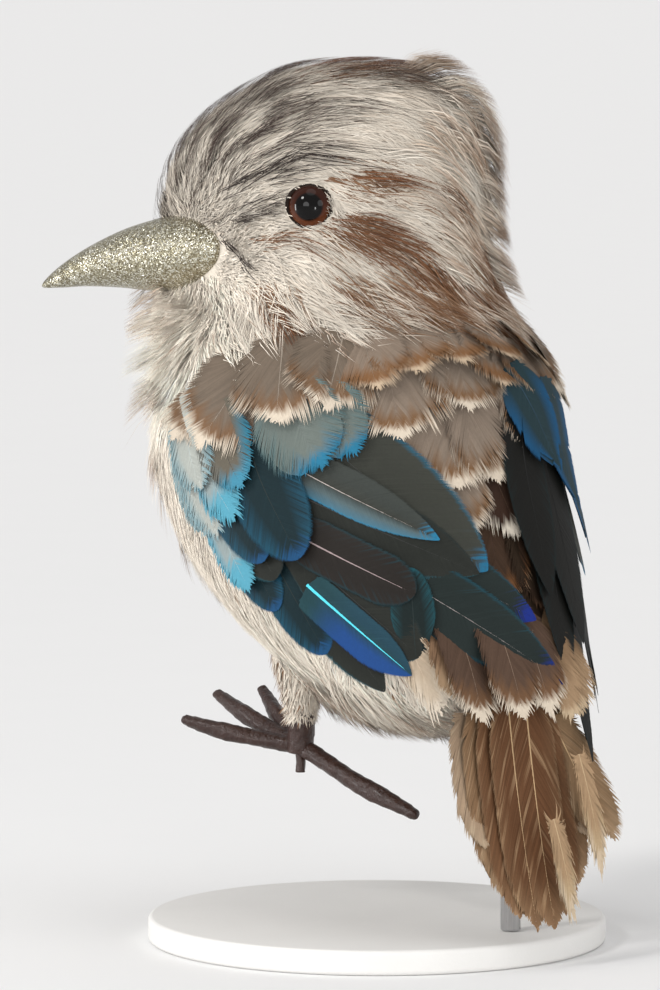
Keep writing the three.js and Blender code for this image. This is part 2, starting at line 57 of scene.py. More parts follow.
def place(thing, at, target):
    """Puts a camera or a lamp at a point in metres, looking at another."""
    thing.location = Vector(at)
    thing.rotation_euler = (Vector(at) - Vector(target)).to_track_quat("Z", "Y").to_euler()
    bpy.context.scene.collection.objects.link(thing)


TARGET = np.array([7.5, -5.7, 89.6]) * MM
DISTANCE, TALL = 1.2, 0.198  # from the target, and what the frame's height spans there
lens = bpy.data.cameras.new("camera")
lens.sensor_fit, lens.sensor_width = "AUTO", 36  # spans the frame's long side
lens.lens = 36 * DISTANCE / TALL
lens.clip_start, lens.clip_end = 0.05, 100
camera = bpy.data.objects.new("camera", lens)
place(camera, TARGET + towards(143, 5) * DISTANCE, TARGET)
bpy.context.scene.camera = camera


def lamp(name, azimuth, elevation, strength, spread, colour=(1, 1, 1)):
    """A large soft lamp so far off that it lights the whole floor evenly; spread is how wide it looks, in degrees."""
    sun = bpy.data.lights.new(name, "SUN")
    sun.energy, sun.angle, sun.color = strength, np.radians(spread), colour
    place(bpy.data.objects.new(name, sun), TARGET + towards(azimuth, elevation) * 3, TARGET)


lamp("key", 92, 38, 1.05, 12, (1, 0.99, 0.97))
lamp("front", 120, 6, 0.95, 30)
lamp("fill", 195, 12, 0.5, 30)
lamp("top", 150, 75, 0.4, 40)
for name, azimuth, elevation, size in (("strip_left", 62, 0, (0.06, 0.2)), ("strip_right", 166, -4, (0.05, 0.09))):
    strip = bpy.data.lights.new(name, "AREA")
    strip.shape, strip.size, strip.size_y, strip.energy = "RECTANGLE", *size, 70 * size[0] * size[1]
    place(bpy.data.objects.new(name, strip), TARGET + towards(azimuth, elevation) * 0.5, TARGET)
bpy.context.scene.view_settings.view_transform = "Standard"
world = bpy.data.worlds.new("studio")
bpy.context.scene.world = world
world.use_nodes = True
world.node_tree.nodes["Background"].inputs["Color"].default_value = (0.625, 0.62, 0.62, 1)
world.node_tree.nodes["Background"].inputs["Strength"].default_value = 1.0


# ---- shader values that Python's operators combine ----

class Value:
    """A node's output. Sums and products of it add Math nodes, with numbers on either side."""

    def __init__(self, finish, socket):
        self.finish, self.socket = finish, socket

    def maths(self, operation, first, second):
        return self.finish.node("ShaderNodeMath", {"operation": operation}, {0: first, 1: second})

    def __add__(self, other):
        return self.maths("ADD", self, other)

    def __radd__(self, other):
        return self.maths("ADD", other, self)

    def __mul__(self, other):
        return self.maths("MULTIPLY", self, other)

    def __rmul__(self, other):
        return self.maths("MULTIPLY", other, self)


class Finish:
    """A material. node() adds any node, with its settings first and then its sockets' values or links."""

    def __init__(self, name):
        self.material = bpy.data.materials.new(name)
        self.material.use_nodes = True
        self.tree = self.material.node_tree
        self.tree.nodes.clear()

    def node(self, kind, settings=None, values=None, out=0):
        made = self.tree.nodes.new(kind)
        for key, value in (settings or {}).items():
            if key == "stops":
                ramp = made.color_ramp.elements
                while len(ramp) < len(value):
                    ramp.new(1)
                for stop, (at, colour) in zip(ramp, value):
                    stop.position, stop.color = at, (*colour, 1)
            else:
                setattr(made, key, value)
        for key, value in (values or {}).items():
            if isinstance(value, Value):
                self.tree.links.new(value.socket, made.inputs[key])
            else:
                made.inputs[key].default_value = value
        return Value(self, made.outputs[out])

    def mark(self, name, out="Color"):
        """An attribute of the mesh: its colour, or with out="Fac" its value."""
        return self.node("ShaderNodeAttribute", {"attribute_name": name}, out=out)

    def place(self):
        return self.node("ShaderNodeTexCoord", out="Object")

    def noise(self, where, scale, detail=3.0, rough=0.5):
        values = {"Vector": where, "Scale": scale, "Detail": detail, "Roughness": rough}
        return self.node("ShaderNodeTexNoise", {}, values, "Fac")

    def step(self, value, low, high):
        """A smooth step of a value, from 0 at low to 1 at high."""
        return self.node("ShaderNodeMapRange", {"interpolation_type": "SMOOTHSTEP"}, {0: value, 1: low, 2: high})

    def mix(self, share, first, second, how="MIX"):
        """Colours first and second, mixed by a share from 0 to 1."""
        return self.node("ShaderNodeMix", {"data_type": "RGBA", "blend_type": how}, {0: share, 6: first, 7: second}, 2)

    def vector(self, operation, first, second):
        return self.node("ShaderNodeVectorMath", {"operation": operation}, {0: first, 1: second})

    def scaled(self, vector, by):
        return self.node("ShaderNodeVectorMath", {"operation": "SCALE"}, {0: vector, "Scale": by})

    def bump(self, height, distance, strength):
        return self.node("ShaderNodeBump", {}, {"Height": height, "Distance": distance, "Strength": strength}, "Normal")

    def surface(self, colour, roughness, normal=None, **uniform):
        values = {"Base Color": colour, "Roughness": roughness}
        if normal:
            values["Normal"] = normal
        values.update({key.replace("_", " "): value for key, value in uniform.items()})
        shader = self.node("ShaderNodeBsdfPrincipled", {}, values, "BSDF")
        output = self.tree.nodes.new("ShaderNodeOutputMaterial")
        self.tree.links.new(shader.socket, output.inputs["Surface"])
        return self.material


# ---- meshes ----

def grid_faces(rows, columns, closed=True):
    """Four-cornered faces of a grid of points, row by row; closed joins its last column to its first."""
    r, c = np.meshgrid(np.arange(rows - 1), np.arange(columns if closed else columns - 1), indexing="ij")
    a, b = r * columns + c, r * columns + (c + 1) % columns
    return np.stack([a, a + columns, b + columns, b], -1).reshape(-1, 4)


def capped(points):
    """Points and faces of a grid of rings, (rings, round, 3), with a fan over each end."""
    rows, columns = points.shape[:2]
    ring, end = np.arange(columns), (rows - 1) * columns
    after = (ring + 1) % columns
    first = np.stack([np.full(columns, rows * columns), ring, after], -1)
    last = np.stack([np.full(columns, rows * columns + 1), end + after, end + ring], -1)
    ends = [points[0].mean(0), points[-1].mean(0)]
    return np.concatenate([points.reshape(-1, 3), ends]), [grid_faces(rows, columns), first, last]


def joined(parts):
    """Points and lists of faces of several shapes as one of each."""
    first = np.cumsum([0] + [len(points) for points, _ in parts])
    lists = range(len(parts[0][1]))
    faces = [np.concatenate([f[k] + n for (_, f), n in zip(parts, first)]) for k in lists]
    return np.concatenate([points for points, _ in parts]), faces


def piece(name, points, faces, material, slot, stands_for=(), marks=None, bake=None, normals=None):
    """Writes a piece's mesh from points in mm and lists of faces of 3 and 4 corners, with its marks (values or
    colours, one a point), its bake map (one place a point) and its normals, and sets it riding on the body."""
    mesh = bpy.data.meshes.new(name)
    points = np.asarray(points, dtype=np.float32).reshape(-1, 3) * MM
    faces = [np.asarray(group, dtype=np.int32) for group in faces if len(group)]
    corners = np.concatenate([group.ravel() for group in faces])
    sizes = np.concatenate([np.full(len(group), group.shape[1], dtype=np.int32) for group in faces])
    mesh.vertices.add(len(points))
    mesh.vertices.foreach_set("co", points.ravel())
    mesh.loops.add(len(corners))
    mesh.loops.foreach_set("vertex_index", corners)
    mesh.polygons.add(len(sizes))
    mesh.polygons.foreach_set("loop_start", np.concatenate([[0], np.cumsum(sizes)[:-1]]).astype(np.int32))
    mesh.polygons.foreach_set("loop_total", sizes)
    mesh.polygons.foreach_set("use_smooth", np.full(len(sizes), True))
    if bake is not None:
        layer = mesh.uv_layers.new(name="OFBake")
        layer.data.foreach_set("uv", np.asarray(bake, dtype=np.float32).reshape(-1, 2)[corners].ravel())
    for key, values in (marks or {}).items():
        values = np.asarray(values, dtype=np.float32)
        if values.ndim == 2:
            values = np.concatenate([values, np.ones((len(values), 1), np.float32)], 1)
            mesh.attributes.new(key, "FLOAT_COLOR", "POINT").data.foreach_set("color", values.ravel())
        else:
            mesh.attributes.new(key, "FLOAT", "POINT").data.foreach_set("value", values)
    mesh.update()
    if normals is not None:
        mesh.normals_split_custom_set_from_vertices(np.asarray(normals, dtype=np.float32).reshape(-1, 3))
    mesh.materials.append(material)
    made = bpy.data.objects.new(name, mesh)
    bpy.context.scene.collection.objects.link(made)
    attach(made, "root")
    if stands_for:
        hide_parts(*stands_for)


def unit(v):
    return v / np.maximum(np.linalg.norm(v, axis=-1, keepdims=True), 1e-9)


def dot(a, b):
    return np.sum(a * b, axis=-1)


def smooth(x, low, high):
    """0 below low, 1 above high, and a smooth step between; low may be the larger one."""
    t = np.clip((x - low) / (high - low), 0, 1)
    return t * t * (3 - 2 * t)


def wander(points, length, seed):
    """A smooth random field, mostly between -1 and 1: the mean of nine sine waves about this long, in mm,
    that run in random directions."""
    draw = np.random.default_rng(seed)
    waves = unit(draw.normal(size=(9, 3))) * (2 * np.pi / length) * draw.uniform(0.6, 1.5, (9, 1))
    return np.sin(points @ waves.T + draw.uniform(0, 6.3, 9)).sum(-1) / 3.2


# ---- the body's shape ----
# Rows from crown to vent: height, centre forward of the neck's axis, half length, half width, share of the
# head's turn, and how much the front narrows towards the bill.
BODY = np.array([
    [176.6, -1, 0, 0, 1, 0], [175.4, -1, 12.6, 11, 1, 0], [172.4, -0.6, 19.4, 17, 1, 0.05],
    [166.6, 1.2, 27, 23, 1, 0.15], [158.6, 3.9, 31.3, 27, 1, 0.35], [148.6, 5.4, 33.3, 29.5, 1, 0.7],
    [138.6, 5.4, 33.7, 30.5, 1, 0.9], [129, 4.1, 35.2, 32.5, 0.9, 0.6], [120, 1.8, 37.9, 35.5, 0.5, 0.15],
    [110, 0, 40.2, 37.8, 0.1, 0], [98, 1, 42, 39, 0, 0], [84, -4, 40.5, 38, 0, 0], [72, -10.5, 38, 35, 0, 0],
    [62, -18, 34, 30, 0, 0], [54, -23.5, 28, 23, 0, 0], [48.5, -25, 18, 13.5, 0, 0], [46, -25.5, 0, 0, 0, 0]])
# Rows of the surface that the wings lie on: height, centre Y, half length, half width.
GUIDE = np.array([
    [136, -9.4, 32.5, 30.5], [124, -9.7, 36.8, 35], [110, -9.2, 40.2, 38], [98, -10, 42, 39.2],
    [84, -5, 41, 38.6], [70, 0, 40.5, 37], [54, 5.5, 40, 34], [34, 11, 40, 31]])
# Rows of the bill from root to tip: forward, height, half height, half width.
BILL = np.array([
    [24.2, 139.5, 0, 0], [25.6, 139.3, 5.6, 10.4], [29.5, 138.6, 7.6, 11.2], [34.5, 137.8, 7.8, 10.2],
    [39.6, 137.2, 7.1, 8.5], [45.6, 136.5, 5.8, 6.6], [52.6, 134.9, 3.9, 4.4], [58.6, 132.7, 2, 2.3],
    [61.8, 131.1, 0, 0]])
HEAD_TURN = np.radians(53)
UP = np.array([0, 0, 1.0])
NECK = np.array([0, -9.0, 0])
MIDDLE = np.array([0, -4.0, 108])  # a point well inside the body, from which all of its skin is in sight


def column(table, index, s, mirrored=False):
    """Catmull-Rom value of a table's column at places s, in rows. A closed end mirrors its sizes."""
    last, sign = len(table) - 1, -1 if mirrored else 1
    v = np.concatenate([[sign * table[1, index]], table[:, index], [sign * table[last - 1, index]]])
    i = np.clip(np.floor(s).astype(int), 0, last - 1)
    f = s - i
    a, b, c, d = v[i], v[i + 1], v[i + 2], v[i + 3]
    return b + f / 2 * (c - a + f * (2 * a - 5 * b + 4 * c - d + f * (3 * (b - c) + d - a)))


ROWS = np.linspace(0, len(BODY) - 1, 1601)
HEIGHTS = column(BODY, 0, ROWS)


def within_body(points):
    """True inside the body's skin: a point's place along the section's length and width, both as shares of
    the section at its height, fits the section's outline."""
    s = np.interp(-points[..., 2], -HEIGHTS, ROWS)
    turn = HEAD_TURN * column(BODY, 4, s)
    ahead = np.stack([np.sin(turn), -np.cos(turn)], -1)
    offset = points[..., :2] - NECK[:2]
    along = offset[..., 0] * ahead[..., 0] + offset[..., 1] * ahead[..., 1] - column(BODY, 1, s)
    aside = -offset[..., 0] * ahead[..., 1] + offset[..., 1] * ahead[..., 0]
    x = along / np.maximum(column(BODY, 2, s, True), 1e-6)
    y = np.abs(aside) / np.maximum(column(BODY, 3, s, True), 1e-6)
    narrow = 1 - column(BODY, 5, s) * np.clip(x, 0, 1) ** 1.5
    inside = (np.abs(x) < 1) & (y < np.sqrt(np.clip(1 - x * x, 0, 1)) * narrow)
    return inside & (points[..., 2] < BODY[0, 0]) & (points[..., 2] > BODY[-1, 0])


def globe(margin, rows, columns):
    """Angles down from +Z and unit vectors over a globe of directions that leaves a margin at both poles."""
    down, round_ = np.meshgrid(
        np.linspace(margin, np.pi - margin, rows), np.arange(columns) * 2 * np.pi / columns, indexing="ij")
    return down, np.stack([np.sin(down) * np.cos(round_), np.sin(down) * np.sin(round_), np.cos(down)], -1)


def skin_tables(rows=241, columns=480):
    """The skin's distance from the middle and its outward normal over a globe of directions, found by
    halving the ray that crosses the skin, again and again."""
    down, ray = globe(0, rows, columns)
    near, far = np.full(down.shape, 5.0), np.full(down.shape, 120.0)
    for _ in range(24):
        half = (near + far) / 2
        inside = within_body(MIDDLE + ray * half[..., None])
        near, far = np.where(inside, half, near), np.where(inside, far, half)
    reach = (near + far) / 2
    skin = ray * reach[..., None]
    across = np.roll(skin, -1, 1) - np.roll(skin, 1, 1)
    along = np.gradient(skin, axis=0)
    normal = unit(np.cross(along, across))
    normal[0], normal[-1] = [0, 0, 1], [0, 0, -1]
    return reach, normal


REACH, NORMAL = skin_tables()


def on_globe(table, ray):
    """A table's value in given directions, mixed from its four nearest entries."""
    rows, columns = table.shape[:2]
    r = np.arccos(np.clip(ray[..., 2], -1, 1)) / np.pi * (rows - 1)
    c = np.arctan2(ray[..., 1], ray[..., 0]) / (2 * np.pi) % 1 * columns
    r0 = np.clip(r.astype(int), 0, rows - 2)
    c0 = c.astype(int) % columns
    c1, u, v = (c0 + 1) % columns, r - r0, c - np.floor(c)
    if table.ndim == 3:
        u, v = u[..., None], v[..., None]
    low, high = (table[r, c0] * (1 - v) + table[r, c1] * v for r in (r0, r0 + 1))
    return low * (1 - u) + high * u


def on_skin(points, rise=0.0):
    """Points moved along the ray from the middle onto the skin, then out along its normal by rise, in mm."""
    ray = unit(points - MIDDLE)
    return MIDDLE + ray * on_globe(REACH, ray)[..., None] + unit(on_globe(NORMAL, ray)) * np.asarray(rise)[..., None]


def skin_normal(points):
    return unit(on_globe(NORMAL, unit(points - MIDDLE)))


def skin_map(points):
    """Places on an unwrap of the skin: its directions from the middle as longitude and latitude."""
    ray = unit(points - MIDDLE)
    around = np.arctan2(ray[..., 1], ray[..., 0]) / (2 * np.pi) % 1
    return np.stack([0.01 + 0.98 * around, 0.01 + 0.98 * np.arccos(np.clip(ray[..., 2], -1, 1)) / np.pi], -1)


AHEAD = np.array([np.sin(HEAD_TURN), -np.cos(HEAD_TURN), 0])
ASIDE = np.array([-AHEAD[1], AHEAD[0], 0])


def head_place(forward, aside, height):
    """A point from its distances forward of the neck's axis, to the head's left, and up."""
    forward, aside = np.asarray(forward)[..., None], np.asarray(aside)[..., None]
    return NECK + forward * AHEAD + aside * ASIDE + np.asarray(height)[..., None] * UP


def in_head(points):
    offset = points - NECK
    return offset @ AHEAD, offset @ ASIDE, points[..., 2]


# ---- fur ----
COAT = 2.0  # how deep the skin lies under the coat's outside
BILL_ROOT = head_place(31.0, 0.0, 139.0)
EYES = [head_place(7.8, side * 25.8, 148.2) for side in (1, -1)]

CREAM, TAN, BROWN, SOOT = (np.array(c) for c in (
    [0.76, 0.695, 0.6], [0.5, 0.34, 0.21], [0.15, 0.062, 0.026], [0.05, 0.034, 0.027]))


def coat_lie(points, normals):
    """The way the hair lies: away from the bill on the face, back over the head, then down and back over
    neck and body, kept in the skin's plane and turned a little by smooth noise."""
    from_bill = np.linalg.norm(points - BILL_ROOT, axis=-1)
    away = unit(points - BILL_ROOT)
    height = points[..., 2]
    dip = np.radians(np.interp(height, [50, 95, 112, 126, 140, 150, 166], [62, 84, 76, 54, 30, 12, 0]))[..., None]
    turned = smooth(height, 108, 128)[..., None]
    back = unit(-AHEAD * turned + np.array([0, 1.0, 0]) * (1 - turned))
    sweep = back * np.cos(dip) - UP * np.sin(dip)
    near = smooth(from_bill, 58, 18)[..., None]
    lie = unit(away * near + sweep * (1 - near))
    lie = unit(lie - normals * dot(lie, normals)[..., None])
    side = np.cross(normals, lie)
    angle = 0.17 * wander(points, 16, 5) + 0.09 * wander(points, 7, 6)
    return unit(lie + side * angle[..., None])


def line_gap(forward, height, knots):
    """How far a height lies over a line given by its (forward, height) corners."""
    knots = np.array(sorted(knots))
    return height - np.interp(forward, knots[:, 0], knots[:, 1])


def bell(x):
    """1 at 0, falling off smoothly on both sides."""
    return np.exp(-x ** 2)


def coat_marks(points):
    """Shares of brown and of soot-dark hair at places on the coat: a dark streaked forehead, a brown stripe
    that widens from the eye down to the nape, brown patches at the neck, and brown edges on breast and flank."""
    f, a, h = in_head(points)
    beside = np.abs(a)
    head = smooth(h, 112, 122)
    patchy = 1 + 0.75 * wander(points * [1, 1, 1.6], 9, 21)
    fine = 1 + 0.6 * wander(points, 4, 22)
    crown = 0.12 + 0.78 * streaks(points)
    over = line_gap(f, h, [(38, 141), (32.8, 146.5), (24.7, 149.5), (16.7, 155.5), (4, 159.8), (-9.7, 160)])
    crown = crown * smooth(over, 0, 5) * (0.12 + 0.88 * smooth(f, 6, 24)) * smooth(f, -20, -4)
    top = smooth(h, 171.5, 175) * smooth(f, -22, -4) * smooth(f, 20, 8)
    low = line_gap(f, h, [
        (8, 145.5), (4, 145), (-1.9, 144.4), (-9.7, 141.5), (-17.6, 135.5), (-23.6, 129), (-27.4, 121.7)])
    wide = np.where(low > 0, 2.6, 3.0 + 3.0 * smooth(f, 2, -16))
    stripe = bell(low / wide) * smooth(f, 8, 1) * smooth(beside, 6, 14)
    high = line_gap(f, h, [(4, 152), (0, 153), (-9.7, 154.7), (-17.7, 152), (-24, 145), (-30, 136)])
    stripe = stripe + 0.34 * bell(high / 3.5) * smooth(f, 4, -2) * smooth(beside, 4, 12)
    smudge = bell(np.hypot((f - 13) / 6, (h - 141.2) / 1.8)) * smooth(beside, 8, 16)
    curve = line_gap(h, f, [(116, 7), (120, 9), (124, 12), (129, 16), (133, 19)])
    patch_front = bell(curve / 3.4) * smooth(h, 134, 128) * smooth(beside, 8, 18)
    patch_back = bell(np.hypot((f + 19) / 12, (h - 127.5) / 6))
    between = bell(np.hypot((f + 2) / 12, (h - 128) / 4))
    nape = smooth(f, -18, -32) * smooth(h, 118, 126) * smooth(h, 152, 138)
    throat = smooth(f, 24, 36) * smooth(h, 134, 126) * smooth(h, 108, 116)
    brown = 1.05 * stripe + 0.4 * smudge + 0.7 * patch_front + 0.95 * patch_back
    brown = brown + 0.35 * between + 0.42 * nape + 0.3 * top + 0.1 * throat
    front = smooth(-points[..., 0], -22, -8) * smooth(-points[..., 1], 24, 40)
    edge = smooth(h, 116, 96) * smooth(h, 44, 54) * (0.3 + 0.35 * smooth(h, 84, 66))
    brown = head * brown * patchy + (1 - head) * (front * edge + 0.03) * patchy
    over_bill = smooth(np.linalg.norm(points - BILL_ROOT, axis=-1), 17, 10) * smooth(h, 138, 144)
    dark = head * (0.27 * crown + 0.06 * top + 0.1 * over_bill) * fine
    return np.clip(brown, 0, 0.96), np.clip(dark, 0, 0.7)


def streaks(points):
    """1 in the forehead's dark streaks, 0 between them: rays that fan out and back from the bill's root."""
    f, a, h = in_head(points)
    fan = np.arctan2(h - 143, 34 - f)
    return smooth(np.sin(30 * fan + 0.12 * a + 1.8 * wander(points, 22, 23)), 0.0, 0.9)


def clear_of_eyes(points):
    """Points that lie over an eye, moved out of an oval round its middle."""
    for eye, side in zip(EYES, (1, -1)):
        offset = points - eye
        f, h = offset @ AHEAD, offset[..., 2]
        beside = side * (offset @ ASIDE) > -9
        reach = np.sqrt((f / 4.9) ** 2 + (h / 4.4) ** 2)
        push = np.where(beside & (reach < 1), (1 / np.maximum(reach, 0.05) - 1), 0)[..., None]
        points = points + push * (f[..., None] * AHEAD + h[..., None] * UP)
    return points


def spikes(path, up, width, thick, turned):
    """Tapered closed spikes. Each runs along its path (spikes, rings and tip, 3); at every ring but the last
    it has a left, a right and a top point, width apart and thick high, and it ends in a point. Its normals
    are those of the surface that it lies on, turned a little to the left and right at its edges."""
    count, rings = path.shape[0], path.shape[1] - 1
    ahead = unit(np.gradient(path, axis=1))[:, :rings]
    above = up[:, :rings]
    side = unit(np.cross(ahead, above))
    w, t = (np.broadcast_to(size, (count, rings))[..., None] for size in (width, thick))
    ring = path[:, :rings]
    sections = np.stack([ring - side * w / 2, ring + side * w / 2, ring + above * t], 2).reshape(count, -1, 3)
    normals = np.stack([unit(above - side * turned), unit(above + side * turned), above], 2).reshape(count, -1, 3)
    faces = [[0, 1, 2]]
    for r in range(rings - 1):
        for j in range(3):
            a, b = 3 * r + j, 3 * r + (j + 1) % 3
            faces += [[b, a, a + 3], [b, a + 3, b + 3]]
    for j in range(3):
        faces.append([3 * (rings - 1) + (j + 1) % 3, 3 * (rings - 1) + j, 3 * rings])
    each = 3 * rings + 1
    faces = (np.array(faces)[None] + (np.arange(count) * each)[:, None, None]).reshape(-1, 3)
    return np.concatenate([sections, path[:, rings:]], 1), faces, np.concatenate([normals, up[:, rings:]], 1)


def over_spikes(values, rings):
    """Repeats values given at each ring and tip over the points of a spike's sections."""
    tail = values.shape[2:]
    body = np.repeat(values[:, :rings], 3, axis=1)
    return np.concatenate([body, values[:, rings:]], 1).reshape(-1, *tail)


def scattered(count, keep, seed):
    """Places spread evenly over the skin, kept with a given chance. A direction is drawn more often where
    the skin is farther away or slants, so that every square millimetre has the same chance."""
    draw = np.random.default_rng(seed)
    found = []
    total = 0
    while total < count:
        ray = unit(draw.normal(size=(count, 3)))
        reach = on_globe(REACH, ray)
        facing = np.clip(dot(ray, unit(on_globe(NORMAL, ray))), 0.25, 1)
        chance = reach ** 2 / facing
        spot = MIDDLE + ray * reach[:, None]
        kept = spot[draw.uniform(size=count) < chance / chance.max() * keep(spot)]
        found.append(kept)
        total += len(kept)
    return np.concatenate(found)[:count]


def under_wings(points):
    """1 where wings and mantle cover the skin, from the angle round from the spine and the height."""
    x, y, z = points[..., 0], points[..., 1], points[..., 2]
    round_ = np.degrees(np.arctan2(np.abs(x), y - np.interp(-z, -GUIDE[:, 0], GUIDE[:, 1])))
    edge = np.interp(
        z, [50, 56, 62, 70, 78, 90, 102, 112, 118, 122, 126], [0, 8, 24, 46, 60, 68, 75, 78, 78, 68, 0])
    return smooth(round_, edge + 4, edge - 4) * (z < 126)


# Where a hair's rings and tip lie along it, and each ring's share of its width: coat hairs and guard hairs.
HAIR_T, HAIR_W = np.array([0, 0.5, 1.0]), np.array([0.8, 1.0])
LONG_T, LONG_W = np.array([0, 0.35, 0.72, 1.0]), np.array([0.8, 1.0, 0.7])
MOST = 195000  # triangles in one piece of hair
PATCH = 0.0015  # half the side of a hair's patch on the bake map


def write_hair(name, path, up, width, tint, spots, t=HAIR_T):
    """Writes hairs as pieces of under 195,000 triangles. Every hair's bake patch lies round its root's place
    on the unwrap of the skin."""
    points, faces, normals = spikes(path, up, width, width * 0.25, 0.25)
    each, per = points.shape[1], len(faces) // len(path)
    patch = np.stack([np.tile([-1, 1, 0], len(t))[: each], np.repeat(t, 3)[: each] * 2 - 1], -1)
    patch[-1] = [0, 1]
    bake = np.clip(skin_map(spots)[:, None] + patch * PATCH, 0, 1)
    limit = MOST // per
    for k, first in enumerate(range(0, len(path), limit)):
        part = slice(first, min(first + limit, len(path)))
        piece(
            f"{name}_{k + 1}", points[part], [faces[: (part.stop - part.start) * per]], FUR.material, "fur",
            marks={"tint": over_spikes(tint[part], len(t) - 1)}, bake=bake[part], normals=normals[part])


def hair_tint(brown, dark, draw, brightness_with_painted_light=1.0, tan=0.0, from_t=0.0):
    """Colours along hairs, (hairs, places along, 3), from the shares of brown and of soot-dark hairs, and of tan in the
    cream; brown hairs turn brown from a place along them on.
    All are scaled by a brightness that holds painted light and a little random tone."""
    count, t = len(brown), HAIR_T
    is_brown = (draw.uniform(size=count) < brown)[:, None, None]
    is_dark = (draw.uniform(size=count) < dark)[:, None, None]
    # brightness above 1 is painted light on hair that lies in shade; the small random part is the hair's own tone
    light = (brightness_with_painted_light * (1 + draw.normal(0, 0.05, count)))[:, None, None]
    warm = np.clip(draw.normal(0.08, 0.08, count) + tan, 0, 0.5)[:, None, None]
    cream = CREAM * (1 - warm) + TAN * warm
    tipped = BROWN + (TAN - BROWN) * draw.uniform(0, 0.45, (count, 1, 1))
    tipping = smooth(t, from_t, from_t + 0.35) if from_t else 0.5 + 0.5 * smooth(t, 0.0, 0.5)
    tint = cream + (tipped - cream) * is_brown * tipping[None, :, None]
    tint = tint + (SOOT - tint) * is_dark * (0.6 + 0.4 * smooth(t, 0, 0.4))[None, :, None]
    return np.clip(tint * light, 0.01, 1)


def fur(name, spots, strands, seed, width, long=1.0, spread=1.0, stray=0.09, rise=0.0, gather=0.7, tufts=False):
    """Locks of hair. Each lock's strands start round one spot, follow the coat's lie over the skin, draw
    together towards the tip and rise from under the skin to the coat's outside."""
    draw = np.random.default_rng(seed)
    count = len(spots)
    normal = skin_normal(spots)
    lie = coat_lie(spots, normal)
    side = np.cross(normal, lie)
    f, a, h = in_head(spots)
    from_bill = np.linalg.norm(spots - BILL_ROOT, axis=-1)
    length = np.interp(from_bill, [7, 12, 22, 36, 60, 90], [3.4, 4.6, 7.0, 10, 13, 14]) * long
    length = length * draw.uniform(0.8, 1.2, count)
    length = length * (1 - 0.3 * smooth(h, 138, 130) * smooth(f, 12, -8) * smooth(h, 118, 124))
    nape = smooth(f, -4, -22) * smooth(h, 124, 134)
    chin = smooth(f, 24, 34) * smooth(h, 134, 128) * smooth(h, 108, 116) * smooth(np.abs(a), 24, 12)
    vent = smooth(h, 62, 50)
    flank = smooth(spots[:, 1], -12, -30) * smooth(h, 100, 84)
    stand = draw.uniform(size=count)
    collar = smooth(f, 14, 0) * smooth(h, 138, 130)
    brow = smooth(f, 16, 26) * smooth(h, 142, 150)
    breast = smooth(spots[:, 1], -28, -42) * smooth(h, 122, 112)
    proud = nape * np.where(stand > 0.8, 0.7, -0.3) - 1.2 * smooth(f, 0, -14) * smooth(h, 154, 164)
    proud = proud + chin * np.where(stand > 0.45, 3.5, 2.0) + 1.8 * collar + 0.2 * brow + breast
    proud = proud + vent * np.where(stand > 0.5, 2.6, 0.9) + 0.8 * flank * (stand > 0.6)
    tip = -0.8 + 0.45 * wander(spots, 6, seed + 3) + draw.normal(0, 0.18, count) + proud + rise
    brown, dark = coat_marks(spots + lie * (length * 0.5)[:, None])
    if tufts:
        tip = 1.5 - 1.1 * nape + 1.5 * vent + 4.2 * chin + collar + draw.normal(0, 0.5, count) + rise
        brown = np.maximum(brown, 0.6 - 0.42 * chin)
    lock = draw.uniform(size=count) < np.clip(brown * 1.25 - 0.06, 0, 1)
    brown = np.where(lock, np.maximum(brown, 0.82), brown * 0.55)
    bend = draw.normal(0, 0.09, count)
    shape = (count, strands)
    loose = spread * np.interp(from_bill, [10, 40], [0.7, 1.1])[:, None]
    off_side, off_lie = draw.normal(0, 1, shape) * loose, draw.normal(0, 1.6, shape) * loose
    veer = draw.normal(0, stray, shape)
    reach = length[:, None] * draw.uniform(0.75, 1.12, shape)
    t = HAIR_T
    drawn = 1 - gather * t ** 1.3
    across = off_side[..., None] * drawn + (veer[..., None] + bend[:, None, None] * t) * reach[..., None] * t
    along = off_lie[..., None] + reach[..., None] * t
    path = spots[:, None, None] + side[:, None, None] * across[..., None] + lie[:, None, None] * along[..., None]
    low = -COAT - 0.35
    rise_to = tip[:, None] + draw.normal(0, 0.1, shape)
    lifted = low + (rise_to[..., None] - low) * t ** 0.8
    path = clear_of_eyes(on_skin(path, lifted)).reshape(-1, len(t), 3)
    thin = width * np.interp(from_bill, [20, 60, 90], [0.85, 1.0, 1.35])
    thin = (thin[:, None] * draw.uniform(0.75, 1.25, shape)).reshape(-1, 1) * HAIR_W
    throat = smooth(f, 10, 24) * smooth(h, 142, 130) * smooth(h, 100, 116)
    # brighter hair on the body and low belly, the throat and the nape tufts is painted light where the coat lies in
    # shade; the noise terms are the hair's own tone
    tone_and_painted_light = 1 + 0.2 * smooth(h, 126, 108) + (0.3 * nape if tufts else 0) + 0.14 * smooth(h, 84, 64) + 0.32 * throat
    tone_and_painted_light = tone_and_painted_light * (1 + 0.05 * wander(spots, 9, 31) + draw.normal(0, 0.03, count))
    tone_and_painted_light = np.repeat(tone_and_painted_light, strands)
    rear = (0.1 + 0.16 * wander(spots, 12, 33)) * smooth(f, 8, -10) * smooth(h, 118, 130)
    tint = hair_tint(
        np.repeat(brown, strands), np.repeat(dark, strands), draw, tone_and_painted_light, np.repeat(rear, strands), 0.33 * tufts)
    write_hair(name, path, skin_normal(path), thin, tint, np.repeat(spots, strands, 0))


FUR = Finish("fur")
tint = FUR.mark("tint")
grain = FUR.noise(FUR.place(), 2600, 2)
FUR.surface(
    FUR.mix(0.2, tint, FUR.mix(grain, (0.6, 0.56, 0.52, 1), (1.0, 1.0, 1.0, 1)), "MULTIPLY"), 0.65,
    Specular_IOR_Level=0.25)


